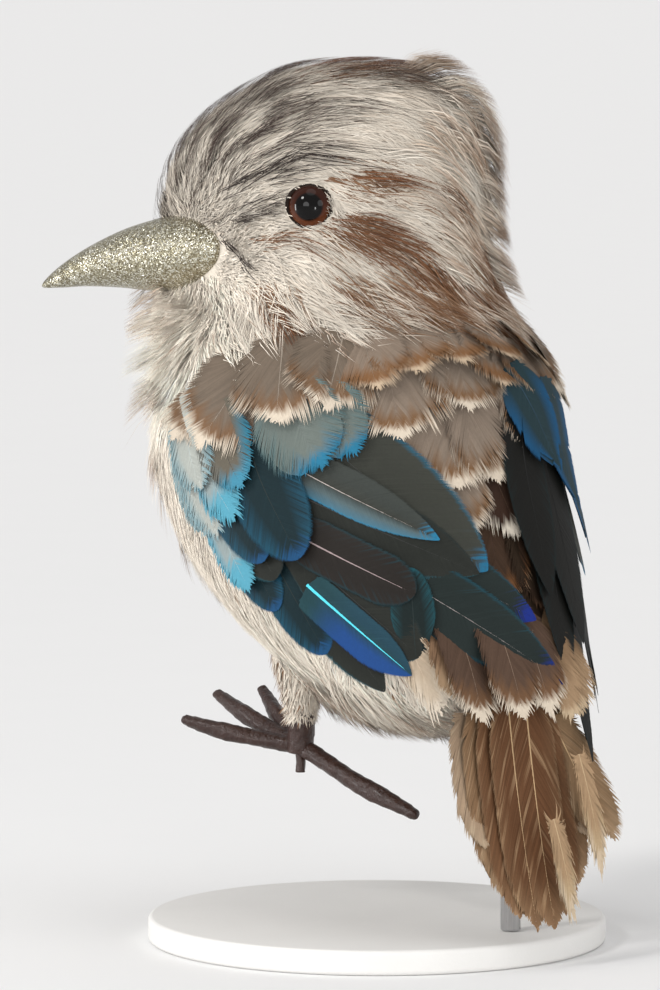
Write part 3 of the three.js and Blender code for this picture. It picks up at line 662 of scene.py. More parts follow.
def skin_tint(points):
    """The skin's colour, the same shares of cream, brown and soot as the coat over it, made a tenth darker as painted
    shade under the coat.
    """
    brown, dark = coat_marks(points)
    mixed = CREAM + (BROWN * 0.6 + TAN * 0.4 - CREAM) * (brown * 0.8)[..., None]
    # the factor 0.9 is painted shade under the hair
    return (mixed + (SOOT - mixed) * (dark * 0.8)[..., None]) * 0.9


# Rows of each thigh's cone from hip to shank: x, y, height, radius.
THIGHS = {
    "left": np.array([
        [10, -6, 66, 11], [9.6, -9.4, 59.5, 8.8], [9.5, -11.2, 54, 6.3], [9.2, -12.6, 49, 4.2], [9, -13.5, 44.8, 3.2]]),
    "right": np.array([[-10, -6, 66, 11], [-9.8, -8, 60, 9], [-9.6, -9.4, 55, 6.8], [-9.4, -10.4, 51.4, 4.8]])}
THIGH_COAT = 1.2  # how deep the skin lies there


def body_skin():
    """The skin, a coat's depth in: head, neck and body from the globe of directions, and the thighs' cones."""
    down, ray = globe(0.004, 150, 220)
    parts = [capped(on_skin(MIDDLE + ray * 50, np.full(down.shape, -COAT)))]
    for table in THIGHS.values():
        s, turn = np.meshgrid(np.linspace(0, len(table) - 1, 14), np.arange(32) * 2 * np.pi / 32, indexing="ij")
        ring = np.stack([np.cos(turn), -np.sin(turn), 0 * turn], -1)
        middle = np.stack([column(table, i, s) for i in range(3)], -1)
        parts.append(capped(middle + ring * (column(table, 3, s) - THIGH_COAT)[..., None]))
    points, faces = joined(parts)
    piece(
        "skin", points, faces, FUR.material, "fur", ("head", "neck", "torso", "thigh_left", "thigh_right"),
        {"tint": skin_tint(points)}, skin_map(points))


body_skin()


def face_place(forward, height, side):
    """The point of the head's surface at a distance forward and a height, on its left (side 1) or right."""
    s = np.interp(-height, -HEIGHTS, ROWS)
    x = np.clip((forward - column(BODY, 1, s)) / column(BODY, 2, s, True), -0.97, 0.97)
    wide = column(BODY, 3, s, True) * np.sqrt(1 - x * x) * (1 - column(BODY, 5, s) * np.clip(x, 0, 1) ** 1.5)
    return head_place(forward, side * wide, height)


def round_bill(f, h):
    """The square of a place's distance from the middle of the bill's root, as a share of the root's oval."""
    return ((f - 35) / 8.4) ** 2 + ((h - 138.2) / 6.0) ** 2


def open_fur(points):
    """1 where hair grows: not under wings and mantle, nor under the bill."""
    f, _, h = in_head(points)
    return (1 - under_wings(points)) * (round_bill(f, h) >= 1) * (0.75 + 0.25 * smooth(h, 112, 124))


fur("fur_under", scattered(3600, open_fur, 1), 4, 2, 0.6, long=0.85, rise=-0.6)
fur("fur_coat", scattered(10500, open_fur, 3), 8, 4, 0.21)


def near_bill(points):
    """Where the short hair at the bill's edge grows."""
    f, _, h = in_head(points)
    reach = np.sqrt(round_bill(f, h))
    return (reach > 1) * smooth(reach, 1.8, 1.25) * (f > 19)


def tuft_places(points):
    """Where tufts stand: the back of the crown and nape, the chin, the collar over wings and back, the vent."""
    f, _, h = in_head(points)
    nape = smooth(f, -6, -18) * smooth(h, 124, 132)
    chin = 0.5 * smooth(f, 20, 32) * smooth(h, 132, 127) * smooth(h, 108, 116)
    collar = smooth(h, 134, 129) * smooth(h, 122, 125) * smooth(f, 16, 6)
    vent = smooth(h, 60, 52)
    breast = smooth(points[..., 1], -20, -40) * smooth(h, 124, 112) * smooth(h, 66, 84) * 0.35
    return (1 - under_wings(points)) * np.clip(nape + chin + collar + vent + breast, 0, 1)


def at_head(places):
    """Points of the skin at (forward, aside, height) places."""
    return on_skin(head_place(*np.array(places, float).T))


fur("fur_bill_edge", scattered(420, near_bill, 7), 8, 8, 0.2, long=0.9, rise=0.3)
fur("fur_tufts", scattered(520, tuft_places, 9), 12, 10, 0.22, long=1.05, spread=0.7, stray=0.04, gather=0.93,
    tufts=True)
# cream and brown locks that fall over the shoulders' feathers, by their places forward and height
FALLS = [
    (23, 121), (20, 124), (16, 126), (12, 127), (8, 128), (4, 127), (0, 128), (-4, 127), (-9, 128), (-14, 127)]
falls = at_head([(f, side * face_place(f, h, 1) @ ASIDE, h) for f, h in FALLS for side in (1, -1)])
fur("fur_falls", falls, 70, 18, 0.17, long=1.1, spread=2.2, stray=0.05, rise=2.4, gather=0.85)
# larger pointed tufts along the back of the head and under the bill
NAPE = [(-11, 174), (-17, 171.5), (-22, 168), (-26, 163), (-27.5, 157), (-28, 151), (-28.5, 145), (-29, 138)]
CHIN = [(36, 130), (36, 125), (35, 119), (34, 112)]
draw = np.random.default_rng(21)
nape = at_head([(f, a + draw.uniform(-2, 2), h + draw.uniform(-2.5, 2.5)) for f, h in NAPE for a in (-8, -3, 2, 7)])
fur("fur_points", nape, 60, 14, 0.19, long=0.75, spread=0.85, stray=0.03, rise=3.5, gather=0.93, tufts=True)
chin = at_head([(f, a, h) for f, h in CHIN for a in (-8, -3, 3, 9)])
fur("fur_chin", chin, 60, 15, 0.2, long=0.9, spread=1.1, stray=0.03, rise=2.0, gather=0.93, tufts=True)


def follow(spots, length, sway):
    """Places along hairs that start at spots and keep to the coat's lie: (hairs, places, 3)."""
    path = [spots]
    for step in np.diff(LONG_T):
        here = path[-1]
        normal = skin_normal(here)
        lie = coat_lie(here, normal)
        ahead = unit(lie + np.cross(normal, lie) * sway[:, None])
        path.append(on_skin(here + ahead * (length * step)[:, None]))
    return np.stack(path, 1)


def guard_hairs():
    """Thin long hairs that lie on the coat: dark ones over the forehead in streaks that fan out from the
    bill, brown ones in the coat's brown marks, black ones over and before the eye, and whiskers at the gape."""
    draw = np.random.default_rng(12)
    start = scattered(24000, lambda p: smooth(p[..., 2], 118, 124) * (1 - under_wings(p)), 10)
    brown, dark = coat_marks(start)
    chance = draw.uniform(size=len(start))
    crown = (chance < 4.0 * dark * (0.12 + 0.88 * streaks(start)))
    marked = (brown > 0.2) & (chance > 1 - 0.5 * brown)
    paths, widths, tints = [], [], []
    for chosen, reach, wide, tone in ((crown, (9, 17), 0.11, SOOT * 0.8), (marked, (8, 14), 0.12, BROWN * 0.7)):
        spots = start[chosen]
        count = len(spots)
        near = np.interp(np.linalg.norm(spots - BILL_ROOT, axis=-1), [8, 20], [0.5, 1])
        path = follow(spots, draw.uniform(*reach, count) * near, draw.normal(0, 0.06, count))
        lift = np.array([-1.2, 0.0, 0.25, 0.4]) + draw.uniform(-0.4, 0.3, (count, 1))
        paths.append(clear_of_eyes(path + skin_normal(path) * lift[..., None]))
        widths.append(np.full(count, wide))
        tints.append(np.broadcast_to(tone, path.shape) * draw.uniform(0.8, 2.2, (count, 1, 1)))
    lines = [
        ([(24.7, 151.5), (9.9, 159), (-9.7, 156.3)], 40, 0.9, 0.15),
        ([(28, 149.5), (17, 153.8), (4, 155.5)], 18, 1.0, 0.15),
        ([(25, 146.2), (17, 149), (10.5, 151)], 22, 0.7, 0.14),
        ([(24.7, 144.4), (18, 146.2), (12.5, 147.8)], 26, 0.6, 0.16),
        ([(25.5, 141.2), (22, 138.6), (17.5, 134.5)], 22, 0.6, 0.24)]
    for corners, count, spread, wide in lines:
        corners = np.array(corners)
        for side in (1, -1):
            at = (draw.uniform(0, 0.66, (count, 1)) + draw.uniform(0.22, 0.5, (count, 1)) * LONG_T) * (len(corners) - 1)
            f = np.interp(at, np.arange(3), corners[:, 0]) + draw.normal(0, spread * 0.5, (count, 1))
            h = np.interp(at, np.arange(3), corners[:, 1]) + draw.normal(0, spread, (count, 1))
            h = h + draw.normal(0, 0.5, (count, 1)) * LONG_T
            spot = face_place(f, h, side)
            lift = np.array([-1.2, 0.3, 0.6, 0.7]) + draw.uniform(-0.2, 0.4, (count, 1)) + (0.6 if wide > 0.2 else 0)
            paths.append(clear_of_eyes(spot + skin_normal(spot) * lift[..., None]))
            widths.append(np.full(count, wide))
            tints.append(np.broadcast_to(SOOT * 0.6, spot.shape))
    path, wide, tint = np.concatenate(paths), np.concatenate(widths), np.concatenate(tints)
    write_hair("fur_guard", path, skin_normal(path), wide[:, None] * LONG_W, tint, path[:, 0], LONG_T)


guard_hairs()


# ---- thighs ----
def thigh_fur(leg, count, seed):
    """Hair round a thigh's cone, from roots under its surface down past its end."""
    rows, draw = THIGHS[leg], np.random.default_rng(seed)
    along, around = draw.uniform(0.25, 1, (count, 1)), draw.uniform(0, 2 * np.pi, (count, 1))
    length = draw.uniform(4, 7.5, (count, 1)) * (1 - 0.6 * along)
    end = len(rows) - 1
    sink = (rows[0, 2] - rows[-1, 2]) / end
    s = along * end + length * HAIR_T / sink
    at, past = np.minimum(s, end), np.maximum(0, s - end) * sink
    middle = np.stack([column(rows, i, at) for i in range(3)], -1) - past[..., None] * np.array([0, 0.1, 1.0])
    radius = column(rows, 3, at) - 1.4 + (1.6 + draw.normal(0, 0.5, (count, 1))) * HAIR_T ** 0.8
    turn = around + draw.normal(0, 0.12, (count, 1)) * HAIR_T
    out = np.stack([np.cos(turn), np.sin(turn), 0 * turn], -1)
    path = middle + out * radius[..., None]
    front = smooth(out[:, 0, 1], 0.1, -0.8) * 0.75 + 0.12
    tint = hair_tint(front, np.zeros(count), draw)
    wide = 0.3 * draw.uniform(0.7, 1.3, (count, 1)) * HAIR_W
    write_hair(f"fur_thigh_{leg}", path, unit(out), wide, tint, path[:, 0])


thigh_fur("left", 3600, 15)
thigh_fur("right", 2400, 16)


# ---- the bill ----

def loft(rows, columns, place_of):
    """A closed surface from place_of(along, around): a grid of rings with both ends closed by a fan."""
    along, around = np.meshgrid(
        np.linspace(0.002, 0.998, rows), np.arange(columns) / columns * 2 * np.pi, indexing="ij")
    return capped(place_of(along, around))


def bill_place(along, around):
    """The bill's point: an oval section at a station, its sizes read from BILL, with a faint ridge on top."""
    s = along * (len(BILL) - 1)
    high, wide = np.maximum(column(BILL, 2, s, True), 0), np.maximum(column(BILL, 3, s, True), 0)
    up = np.sin(around)
    wide = wide * (1 - 0.1 * np.clip(up, 0, 1) ** 2)
    return head_place(column(BILL, 0, s), -wide * np.cos(around), column(BILL, 1, s) + high * up)


def glitter():
    """Champagne glitter in clear varnish: small flakes, each tilted its own way, some bright, some dull."""
    finish = Finish("glitter")
    cells, fine = (
        finish.node("ShaderNodeTexVoronoi", {"feature": "F1"}, {"Vector": finish.place(), "Scale": scale}, "Color")
        for scale in (4400.0, 6000.0))
    parts = finish.node("ShaderNodeSeparateColor", {}, {"Color": cells}, "Red")
    colour = finish.node("ShaderNodeValToRGB", {"stops": [
        (0.0, (0.14, 0.115, 0.07)), (0.35, (0.24, 0.215, 0.14)),
        (0.7, (0.36, 0.335, 0.245)), (1.0, (0.7, 0.69, 0.62))]}, {"Fac": parts}, "Color")
    tilt = finish.vector("SUBTRACT", finish.mix(0.4, cells, fine), (0.5, 0.5, 0.5))
    geometry = finish.node("ShaderNodeNewGeometry", out="Normal")
    normal = finish.vector("NORMALIZE", finish.vector("ADD", geometry, finish.scaled(tilt, 1.2)), (0, 0, 0))
    return finish.surface(colour, 0.28, normal, Metallic=0.75, Coat_Weight=0.15, Coat_Roughness=0.2)


points, faces = loft(70, 56, bill_place)
piece("bill_glitter", points, faces, glitter(), "bill", ("bill",))


# ---- the eyes ----

def eye_glass():
    """Glass eye: a black pupil in a dark amber iris that is streaked outwards, with painted light that makes it lighter
    low down, where light through the glass gathers.
    """
    finish = Finish("eye_glass")
    ring = finish.mark("ring", "Fac")
    low = finish.mark("low", "Fac")
    # the lighter amber low in the iris is painted light gathered through the glass, not the iris's own colour
    amber = finish.mix(low, (0.03, 0.006, 0.002, 1), (0.12, 0.03, 0.008, 1))
    streak = finish.noise(finish.place(), 1500, 2)
    amber = finish.mix(streak * 0.5, amber, (0.02, 0.006, 0.003, 1))
    inner = finish.mix(finish.step(ring, 0.55, 0.68), (0.002, 0.0015, 0.0015, 1), amber)
    colour = finish.mix(finish.step(ring, 0.84, 0.95), inner, (0.012, 0.005, 0.004, 1))
    return finish.surface(colour, 0.02, None, Specular_IOR_Level=0.2)


EYE_FINISH = eye_glass()
EYE_RADIUS = 4.5


def eye_axes(side, ahead, down):
    """The direction an eye looks, a little ahead and down from its side, and two directions across it."""
    pole = unit(ASIDE * side + AHEAD * ahead - UP * down)
    east = unit(np.cross(UP, pole))
    return pole, east, np.cross(pole, east)


def eye(name, side, node):
    """A ball of 9 mm whose rings run round its outward pole. ring is a point's distance from the axis as a share of the
    radius, and low is how far down it lies, which sets how much painted light the lower iris gets."""
    middle = EYES[0 if side > 0 else 1] + ASIDE * side * 0.3
    pole, east, north = eye_axes(side, 0.1, 0.03)

    def place_of(along, around):
        angle = along * np.pi
        return middle + EYE_RADIUS * (np.cos(angle)[..., None] * pole + np.sin(angle)[..., None] * (
            np.cos(around)[..., None] * east + np.sin(around)[..., None] * north))
    points, faces = loft(48, 48, place_of)
    offset = (points - middle) / EYE_RADIUS
    ring = np.linalg.norm(np.cross(offset, pole), axis=-1)
    ring = np.where(offset @ pole < 0, 1.2, ring)
    piece(name, points, faces, EYE_FINISH, "eye", (node,), {"ring": ring, "low": smooth(offset[:, 2], 0.5, -0.8)})


def eye_rims():
    """A thin black rim round each eye, a ring laid on the ball where the hair begins."""
    round_, thick = 40, 10
    a, b = np.meshgrid(
        np.arange(round_) / round_ * 2 * np.pi, np.arange(thick) / thick * 2 * np.pi, indexing="ij")
    wide = 4.25 + 0.55 * np.cos(b) + 0.12 * np.sin(3 * a)
    faces = grid_faces(round_ + 1, thick) % (round_ * thick)
    parts = []
    for middle, side in zip(EYES, (1, -1)):
        pole, east, north = eye_axes(side, 0.12, 0.0)
        points = middle + (1.7 + 0.55 * np.sin(b))[..., None] * pole
        points = points + (wide * np.cos(a))[..., None] * east + (wide * np.sin(a) * 0.93)[..., None] * north
        parts.append((points.reshape(-1, 3), [faces]))
    finish = Finish("eye_rim")
    grain = finish.noise(finish.place(), 900, 3)
    colour = finish.mix(grain, (0.006, 0.004, 0.003, 1), (0.02, 0.012, 0.009, 1))
    piece("eye_rims", *joined(parts), finish.surface(colour, 0.8, Specular_IOR_Level=0.1), "eye")


eye_rims()
eye("eye_glass_left", 1, "eye_left")
eye("eye_glass_right", -1, "eye_right")


# ---- feathers ----

def guide_place(round_, height, lift, side):
    """A point over the wing's guide: an angle round from the spine in degrees, a height, and the lift
    outwards in mm; side is 1 on the left and -1 on the right."""
    s = np.interp(-height, -GUIDE[:, 0], np.arange(len(GUIDE)))
    angle = np.radians(round_)
    long, wide = column(GUIDE, 2, s), column(GUIDE, 3, s)
    normal = unit(np.stack([np.sin(angle) / wide, np.cos(angle) / long, 0 * angle], -1))
    point = np.stack([wide * np.sin(angle), column(GUIDE, 1, s) + long * np.cos(angle), height + 0 * angle], -1)
    point = point + normal * np.asarray(lift)[..., None]
    return point * [side, 1, 1], normal * [side, 1, 1]


def on_guide(root, tip, lift, side, roll=0.0):
    """A feather's spine over the guide, from root to tip as (degrees, height), with its lift at both ends."""
    def spine(t):
        round_, height, out = (a + (b - a) * t for a, b in ((root[0], tip[0]), (root[1], tip[1]), lift))
        return guide_place(round_, height, out, side)
    return spine, roll * side


def in_air(root, tip, out, sag=0.0, roll=0.0):
    """A feather's spine from root to tip in mm, bowed outwards by sag, facing out."""
    root, tip, out = (np.asarray(v, float) for v in (root, tip, out))

    def spine(t):
        t = np.asarray(t)[..., None]
        point = root + (tip - root) * t + unit(out) * sag * 4 * t * (1 - t)
        return point, np.broadcast_to(unit(out), point.shape)
    return spine, roll


def feather_edge(t, root=0.35, full=0.45, round_from=0.7, point=0.5):
    """Half width as a share: it swells from the root, keeps full, and rounds to nothing at the tip; with
    point over 0.5 the tip is less round."""
    swell = root + (1 - root) * smooth(t, -0.05, full)
    return swell * np.clip(1 - (np.clip((t - round_from) / (1 - round_from), 0, 1)) ** 2, 0, 1) ** point


WEB = (12, 6)  # points along and across the web under a feather's barbs
WEB_THICK, BARB_THICK = 0.12, 0.06
BARB_WIDE = 1.9  # as a share of the spacing, so that barbs overlap
SPLIT_CHANCE = 0.085  # of a new group beginning at a barb


def feather(spine, width, look, seed, barbs=90, slant=40, loose=0.0, splits=0.0, camber=0.05, shaft=0.45,
            edge=(0.4, 0.45, 0.66), vanes=(1.0, 1.0), banded=False):
    """One feather. Barbs leave the shaft on both sides at a slant and end on the feather's edge; loose frays
    their ends, and splits parts them in groups. vanes are the shares of half the width on its two sides.
    look(t, q, side, draw, gap) gives a point's colour from its place along the feather, its share of the way
    from shaft to edge, its side, which is 0 for the shaft itself, and its distance in mm from the tip's edge."""
    spine, roll = spine
    draw = np.random.default_rng(seed)
    ends, _ = spine(np.array([0.0, 1.0]))
    length = np.linalg.norm(ends[1] - ends[0])
    half = width / 2

    def place_of(t, x, rise):
        middle, normal = spine(t)
        ahead = unit(spine(t + 0.01)[0] - spine(t - 0.01)[0])
        across = unit(np.cross(ahead, normal))
        normal = np.cross(across, ahead)
        across, normal = across * np.cos(roll) + normal * np.sin(roll), normal * np.cos(roll) - across * np.sin(roll)
        arch = np.asarray(rise - camber * x * x / half)[..., None]
        return middle + across * x[..., None] + normal * arch, unit(normal + across * (0.12 * x / half)[..., None])

    dense = np.linspace(0.05, 1, 600)
    bits = np.hypot(np.diff(dense) * length, np.diff(feather_edge(dense, *edge) * half))
    arc = np.concatenate([[0], np.cumsum(bits)])
    q = np.array([0, 0.45, 0.72, 0.88, 1.0] if banded else [0, 0.45, 0.86, 1.0])
    rings = len(q) - 1
    spacing = arc[-1] / barbs

    def gap_of(t, wide):
        """How far in front of a point, in mm, the feather's edge lies."""
        share = np.clip(wide, 0, 0.999) ** (1 / (edge[3] if len(edge) > 3 else 0.5))
        return (edge[2] + (1 - edge[2]) * np.sqrt(1 - share) - t) * length

    paths, ups, tints = [], [], []
    for side, share in zip((1, -1), vanes):
        at = np.interp(np.linspace(0, arc[-1], barbs), arc, dense)
        wide = feather_edge(at, *edge) * half * share
        start = np.clip(at - wide / np.tan(np.radians(slant)) / length, 0.01, at)
        step = np.cumsum(draw.uniform(size=barbs) < SPLIT_CHANCE)
        shift = (splits * draw.normal(0, 1, step.max() + 1)[step] + loose * draw.normal(0, 1, barbs)) / length
        short = 1 - np.abs(draw.normal(0, 0.02 + 0.07 * loose, barbs))
        t = start[:, None] + ((at - start) * short)[:, None] * q ** 1.15 + shift[:, None] * q ** 3
        rise = 0.12 + 0.012 * draw.normal(0, 1, (barbs, 1)) + loose * 0.25 * draw.normal(0, 1, (barbs, 1)) * q ** 3
        point, normal = place_of(t, side * (wide * short)[:, None] * q, rise)
        paths.append(point)
        ups.append(normal)
        tints.append(look(t, q + 0 * t, side, draw, gap_of(t, (wide * short)[:, None] * q / half / share)))
    path, up, tint = np.concatenate(paths), np.concatenate(ups), np.concatenate(tints)
    taper = np.array([1.0] * (rings - 1) + [0.72 if loose < 0.3 else 0.5])
    thick = np.full((len(path), rings), BARB_THICK)
    points, faces, normals = spikes(path, up, spacing * BARB_WIDE * taper, thick, 0.12)
    # a thin web under the barbs closes the gaps between them
    t, x = np.meshgrid(np.linspace(0.02, 0.93, WEB[0]), np.linspace(-0.8, 0.8, WEB[1]), indexing="ij")
    wide = feather_edge(t, *edge) * half * np.where(x < 0, vanes[1], vanes[0])
    t = t * (0.8 if banded else 1.0)
    top, web_up = place_of(t, x * wide, 0.0 * t)
    bottom, _ = place_of(t, x * wide, 0.0 * t - WEB_THICK)
    # the web's colour, a tenth darker than the barbs', is painted shade under them
    web_tint = look(t, np.abs(x), 1, draw, gap_of(t, np.abs(x))).reshape(-1, 3) * 0.9
    cells, sheet = grid_faces(*WEB, False), np.arange(t.size).reshape(WEB)
    rim = np.concatenate([sheet[0, :-1], sheet[:-1, -1], sheet[-1, :0:-1], sheet[:0:-1, 0]])
    after = np.roll(rim, -1)
    under = sheet.size
    web = np.concatenate([cells[:, ::-1], cells + under, np.stack([rim, rim + under, after + under, after], -1)])
    # the shaft, a thin tapered spike along the middle
    t = np.linspace(0, 0.97, 14)
    middle, normal = place_of(t, 0 * t, 0.1 + 0 * t)
    slim = shaft * (1 - 0.75 * t[:-1])
    quill, quill_faces, quill_normals = spikes(middle[None], normal[None], slim, slim * 0.5, 0.6)
    quill_tint = np.broadcast_to(look(None, None, 0, draw, None), (len(quill[0]), 3))
    each = points.shape[1]
    first = len(path) * each
    web_up = web_up.reshape(-1, 3)
    return {
        "points": np.concatenate([points.reshape(-1, 3), top.reshape(-1, 3), bottom.reshape(-1, 3), quill[0]]),
        "normals": np.concatenate([normals.reshape(-1, 3), web_up, -web_up, quill_normals[0]]),
        "tris": np.concatenate([faces, quill_faces + first + 2 * under]),
        "quads": web + first,
        "tint": np.concatenate([over_spikes(tint, rings), web_tint, web_tint, quill_tint]),
        "map": feather_map(len(path), each, q, len(quill[0])),
    }


def feather_map(barbs, each, q, quill):
    """Places in a feather's own square of the bake map: barbs as thin strips, one above the other, left vane
    beside right, then the web and the shaft."""
    half = barbs // 2
    row, left = np.arange(barbs) % half, np.arange(barbs) // half
    u = np.repeat(q, 3)[: each]
    u[-1] = 1
    v = np.tile([0.1, 0.9, 0.5], len(q))[: each]
    strips = np.stack([
        0.03 + 0.45 * left[:, None] + 0.4 * u[None], (row[:, None] + v[None]) / half * 0.78 + 0.2], -1).reshape(-1, 2)
    t, x = np.meshgrid(np.linspace(0, 1, WEB[0]), np.linspace(0, 1, WEB[1]), indexing="ij")
    web = np.stack([0.05 + 0.4 * t, 0.02 + 0.13 * x], -1).reshape(-1, 2)
    rod = np.stack([np.linspace(0.05, 0.95, quill), np.full(quill, 0.175) + 0.01 * (np.arange(quill) % 3)], -1)
    return np.concatenate([strips, web, web + [0.48, 0], rod])


def bundle(name, feathers, finish, slot, stands_for):
    """Joins feathers into one piece; each has its own square of the bake map."""
    across = int(np.ceil(np.sqrt(len(feathers))))
    first = np.cumsum([0] + [len(f["points"]) for f in feathers])
    cells = [(f["map"] * 0.98 + [k % across, k // across]) / across for k, f in enumerate(feathers)]

    def all_of(key):
        return np.concatenate([f[key] for f in feathers])
    faces = [np.concatenate([f[kind] + n for f, n in zip(feathers, first)]) for kind in ("tris", "quads")]
    piece(
        name, all_of("points"), faces, finish, slot, stands_for, {"tint": np.clip(all_of("tint"), 0.002, 1)},
        np.concatenate(cells), all_of("normals"))


def feather_finish(name, roughness, gloss):
    finish = Finish(name)
    grain = finish.noise(finish.place(), 1800, 2)
    tint, shade = finish.mark("tint"), finish.mix(grain, (0.55, 0.55, 0.55, 1), (1.25, 1.25, 1.25, 1))
    colour = finish.mix(0.25, tint, shade, "MULTIPLY")
    return finish.surface(colour, roughness, Specular_IOR_Level=gloss)


def blend(base, share, other):
    return base + (np.asarray(other) - base) * share[..., None]


def per_barb(t, draw, vary):
    """Random numbers, one for each barb."""
    return draw.normal(0, vary, (t.shape[0],) + (1,) * (t.ndim - 1))


def soft_look(body, band, fringe, quill, band_at=5.0, fringe_at=2.6, vary=0.05):
    """Look of a back feather: its body colour, then a band of brown, then a pale frayed fringe along the tip.
    Band and fringe begin at these distances from the tip's edge, in mm."""
    def look(t, q, side, draw, gap):
        if side == 0:
            return np.array(quill)
        own = per_barb(t, draw, vary)
        outer = gap * (1 + 1.2 * own)
        tone = np.asarray(body) * (1 + own + 0.06 * np.sin(t * 40 + 9 * own))[..., None]
        tone = blend(tone, smooth(outer, band_at + 1.4, band_at - 0.8), band)
        return blend(tone, smooth(outer, fringe_at + 0.5, fringe_at - 0.5), fringe)
    return look


def dyed_look(body, edge, quill, width=0.3, tip=None, tip_at=0.9, only=0, vary=0.03, line=None):
    """Look of a dyed feather: dark body, a bright rim on its edge (on one vane where only is 1 or -1), and,
    where given, another colour at its tip and a thin line along the rim's edge."""
    def look(t, q, side, draw, gap):
        if side == 0:
            return np.array(quill)
        own = per_barb(t, draw, vary)
        tone = np.asarray(body) * (1 + own + 0.08 * np.sin(q * 9 + 20 * own))[..., None]
        rim = smooth(q + 0.8 * own, 1 - width, 1 - 0.4 * width) * smooth(t, 0.1, 0.45)
        if only and side != only:
            rim = rim * 0.1
        tone = blend(tone, rim, edge)
        if line is not None and side == only:
            tone = blend(tone, smooth(q, 0.8, 0.95), line)
        if tip is not None:
            tone = blend(tone, smooth(t + 0.6 * own, tip_at - 0.06, tip_at + 0.04), tip)
        return tone
    return look


def mottled_look(dark, light, quill, seed=0, vary=0.1):
    """Look of a tail feather: brown with pale wavy bars that break up towards the edge."""
    def look(t, q, side, draw, gap):
        if side == 0:
            return np.array(quill)
        own = per_barb(t, draw, vary)
        bars = np.sin(t * 52 + 3 * np.sin(q * 5 + seed) + seed + side) + 0.9 * np.sin(t * 17 + 4 * q * side + 2 * seed)
        share = smooth(bars + 4 * own, 1.2, 1.7) * 0.5 + 0.4 * smooth(q, 0.8, 1.0) + 0.3 * smooth(t, 0.75, 1)
        return blend(np.asarray(dark) * (1 + own)[..., None], np.clip(share, 0, 1), light)
    return look


# Looks, each from its body's colour, its band's or rim's, its fringe's (natural feathers) and its shaft's.
TAUPE, FRINGE, DARK = [0.15, 0.116, 0.087], [0.62, 0.535, 0.43], [0.05, 0.045, 0.045]
shoulder_look = soft_look(TAUPE, [0.17, 0.095, 0.05], FRINGE, [0.3, 0.25, 0.2], 5.5, 2.8)
upper_look = soft_look([0.22, 0.17, 0.13], [0.2, 0.1, 0.045], [0.52, 0.4, 0.28], [0.22, 0.18, 0.14], 4.2, 1.3)
mantle_look = soft_look([0.215, 0.168, 0.13], [0.17, 0.09, 0.042], FRINGE, [0.24, 0.19, 0.15], 4.6, 2.4)
middle_look = soft_look([0.04, 0.022, 0.015], [0.035, 0.018, 0.012], [0.6, 0.54, 0.45], [0.08, 0.05, 0.035], 4.6, 2.6)
rufous_look = soft_look([0.052, 0.03, 0.019], [0.17, 0.075, 0.03], [0.4, 0.28, 0.18], [0.06, 0.035, 0.025], 3.6, 0.9)
deep_look = soft_look([0.034, 0.022, 0.014], [0.03, 0.018, 0.012], [0.09, 0.05, 0.03], [0.03, 0.02, 0.02], 3, 0.8)
vent_look = soft_look([0.085, 0.052, 0.036], [0.15, 0.08, 0.042], FRINGE, [0.2, 0.14, 0.1], 6, 3)
tan_look = soft_look([0.22, 0.14, 0.08], [0.33, 0.22, 0.13], [0.5, 0.38, 0.25], [0.4, 0.3, 0.2], 8, 2)
pale_blue = dyed_look([0.36, 0.38, 0.35], [0.2, 0.31, 0.34], [0.4, 0.45, 0.45], 0.5)
cyan_front = dyed_look(
    [0.26, 0.31, 0.31], [0.1, 0.29, 0.38], [0.3, 0.4, 0.42], 0.5,
    tip=[0.08, 0.3, 0.4], tip_at=0.72)
taupe_rimmed = dyed_look(
    [0.12, 0.105, 0.08], [0.03, 0.17, 0.25], DARK, 0.4,
    tip=[0.05, 0.22, 0.32], tip_at=0.84, only=-1)
grey_teal = dyed_look(
    [0.14, 0.165, 0.15], [0.08, 0.15, 0.16], [0.15, 0.17, 0.16], 0.2,
    tip=[0.02, 0.16, 0.27], tip_at=0.87)
round_teal = dyed_look(
    [0.007, 0.02, 0.025], [0.01, 0.06, 0.1], [0.02, 0.03, 0.03], 0.22,
    tip=[0.01, 0.06, 0.15], tip_at=0.94)
big_dark = dyed_look(
    [0.038, 0.04, 0.033], [0.012, 0.12, 0.2], [0.05, 0.052, 0.048], 0.09,
    tip=[0.014, 0.13, 0.24], tip_at=0.965, only=-1)
band_below = dyed_look(
    [0.036, 0.038, 0.032], [0.085, 0.125, 0.135], [0.5, 0.45, 0.42], 1.1,
    tip=[0.02, 0.17, 0.3], tip_at=0.95, only=1, line=[0.02, 0.19, 0.33])
plain_dark = dyed_look([0.018, 0.02, 0.017], [0.014, 0.09, 0.12], [0.04, 0.04, 0.04], 0.09, only=1)
pink_shaft = dyed_look([0.018, 0.015, 0.013], [0.012, 0.04, 0.05], [0.36, 0.28, 0.28], 0.14)
round_tip = dyed_look(
    [0.009, 0.016, 0.016], [0.012, 0.06, 0.075], [0.02, 0.03, 0.03], 0.2,
    tip=[0.012, 0.07, 0.09], tip_at=0.95)
cyan_shaft = dyed_look([0.014, 0.046, 0.055], [0.012, 0.055, 0.2], [0.1, 0.66, 0.8], 1.1, only=1)
cobalt_tip = dyed_look(
    [0.014, 0.021, 0.02], [0.01, 0.06, 0.085], [0.36, 0.32, 0.31], 0.1,
    tip=[0.01, 0.025, 0.2], tip_at=0.91)
flight_black = dyed_look([0.008, 0.008, 0.007], [0.007, 0.015, 0.016], [0.02, 0.02, 0.02], 0.15)
far_blue = dyed_look([0.018, 0.038, 0.045], [0.01, 0.07, 0.16], [0.03, 0.06, 0.09], 0.45)
DYED = feather_finish("dyed_feather", 0.5, 0.1)
NATURAL = feather_finish("natural_feather", 0.7, 0.08)


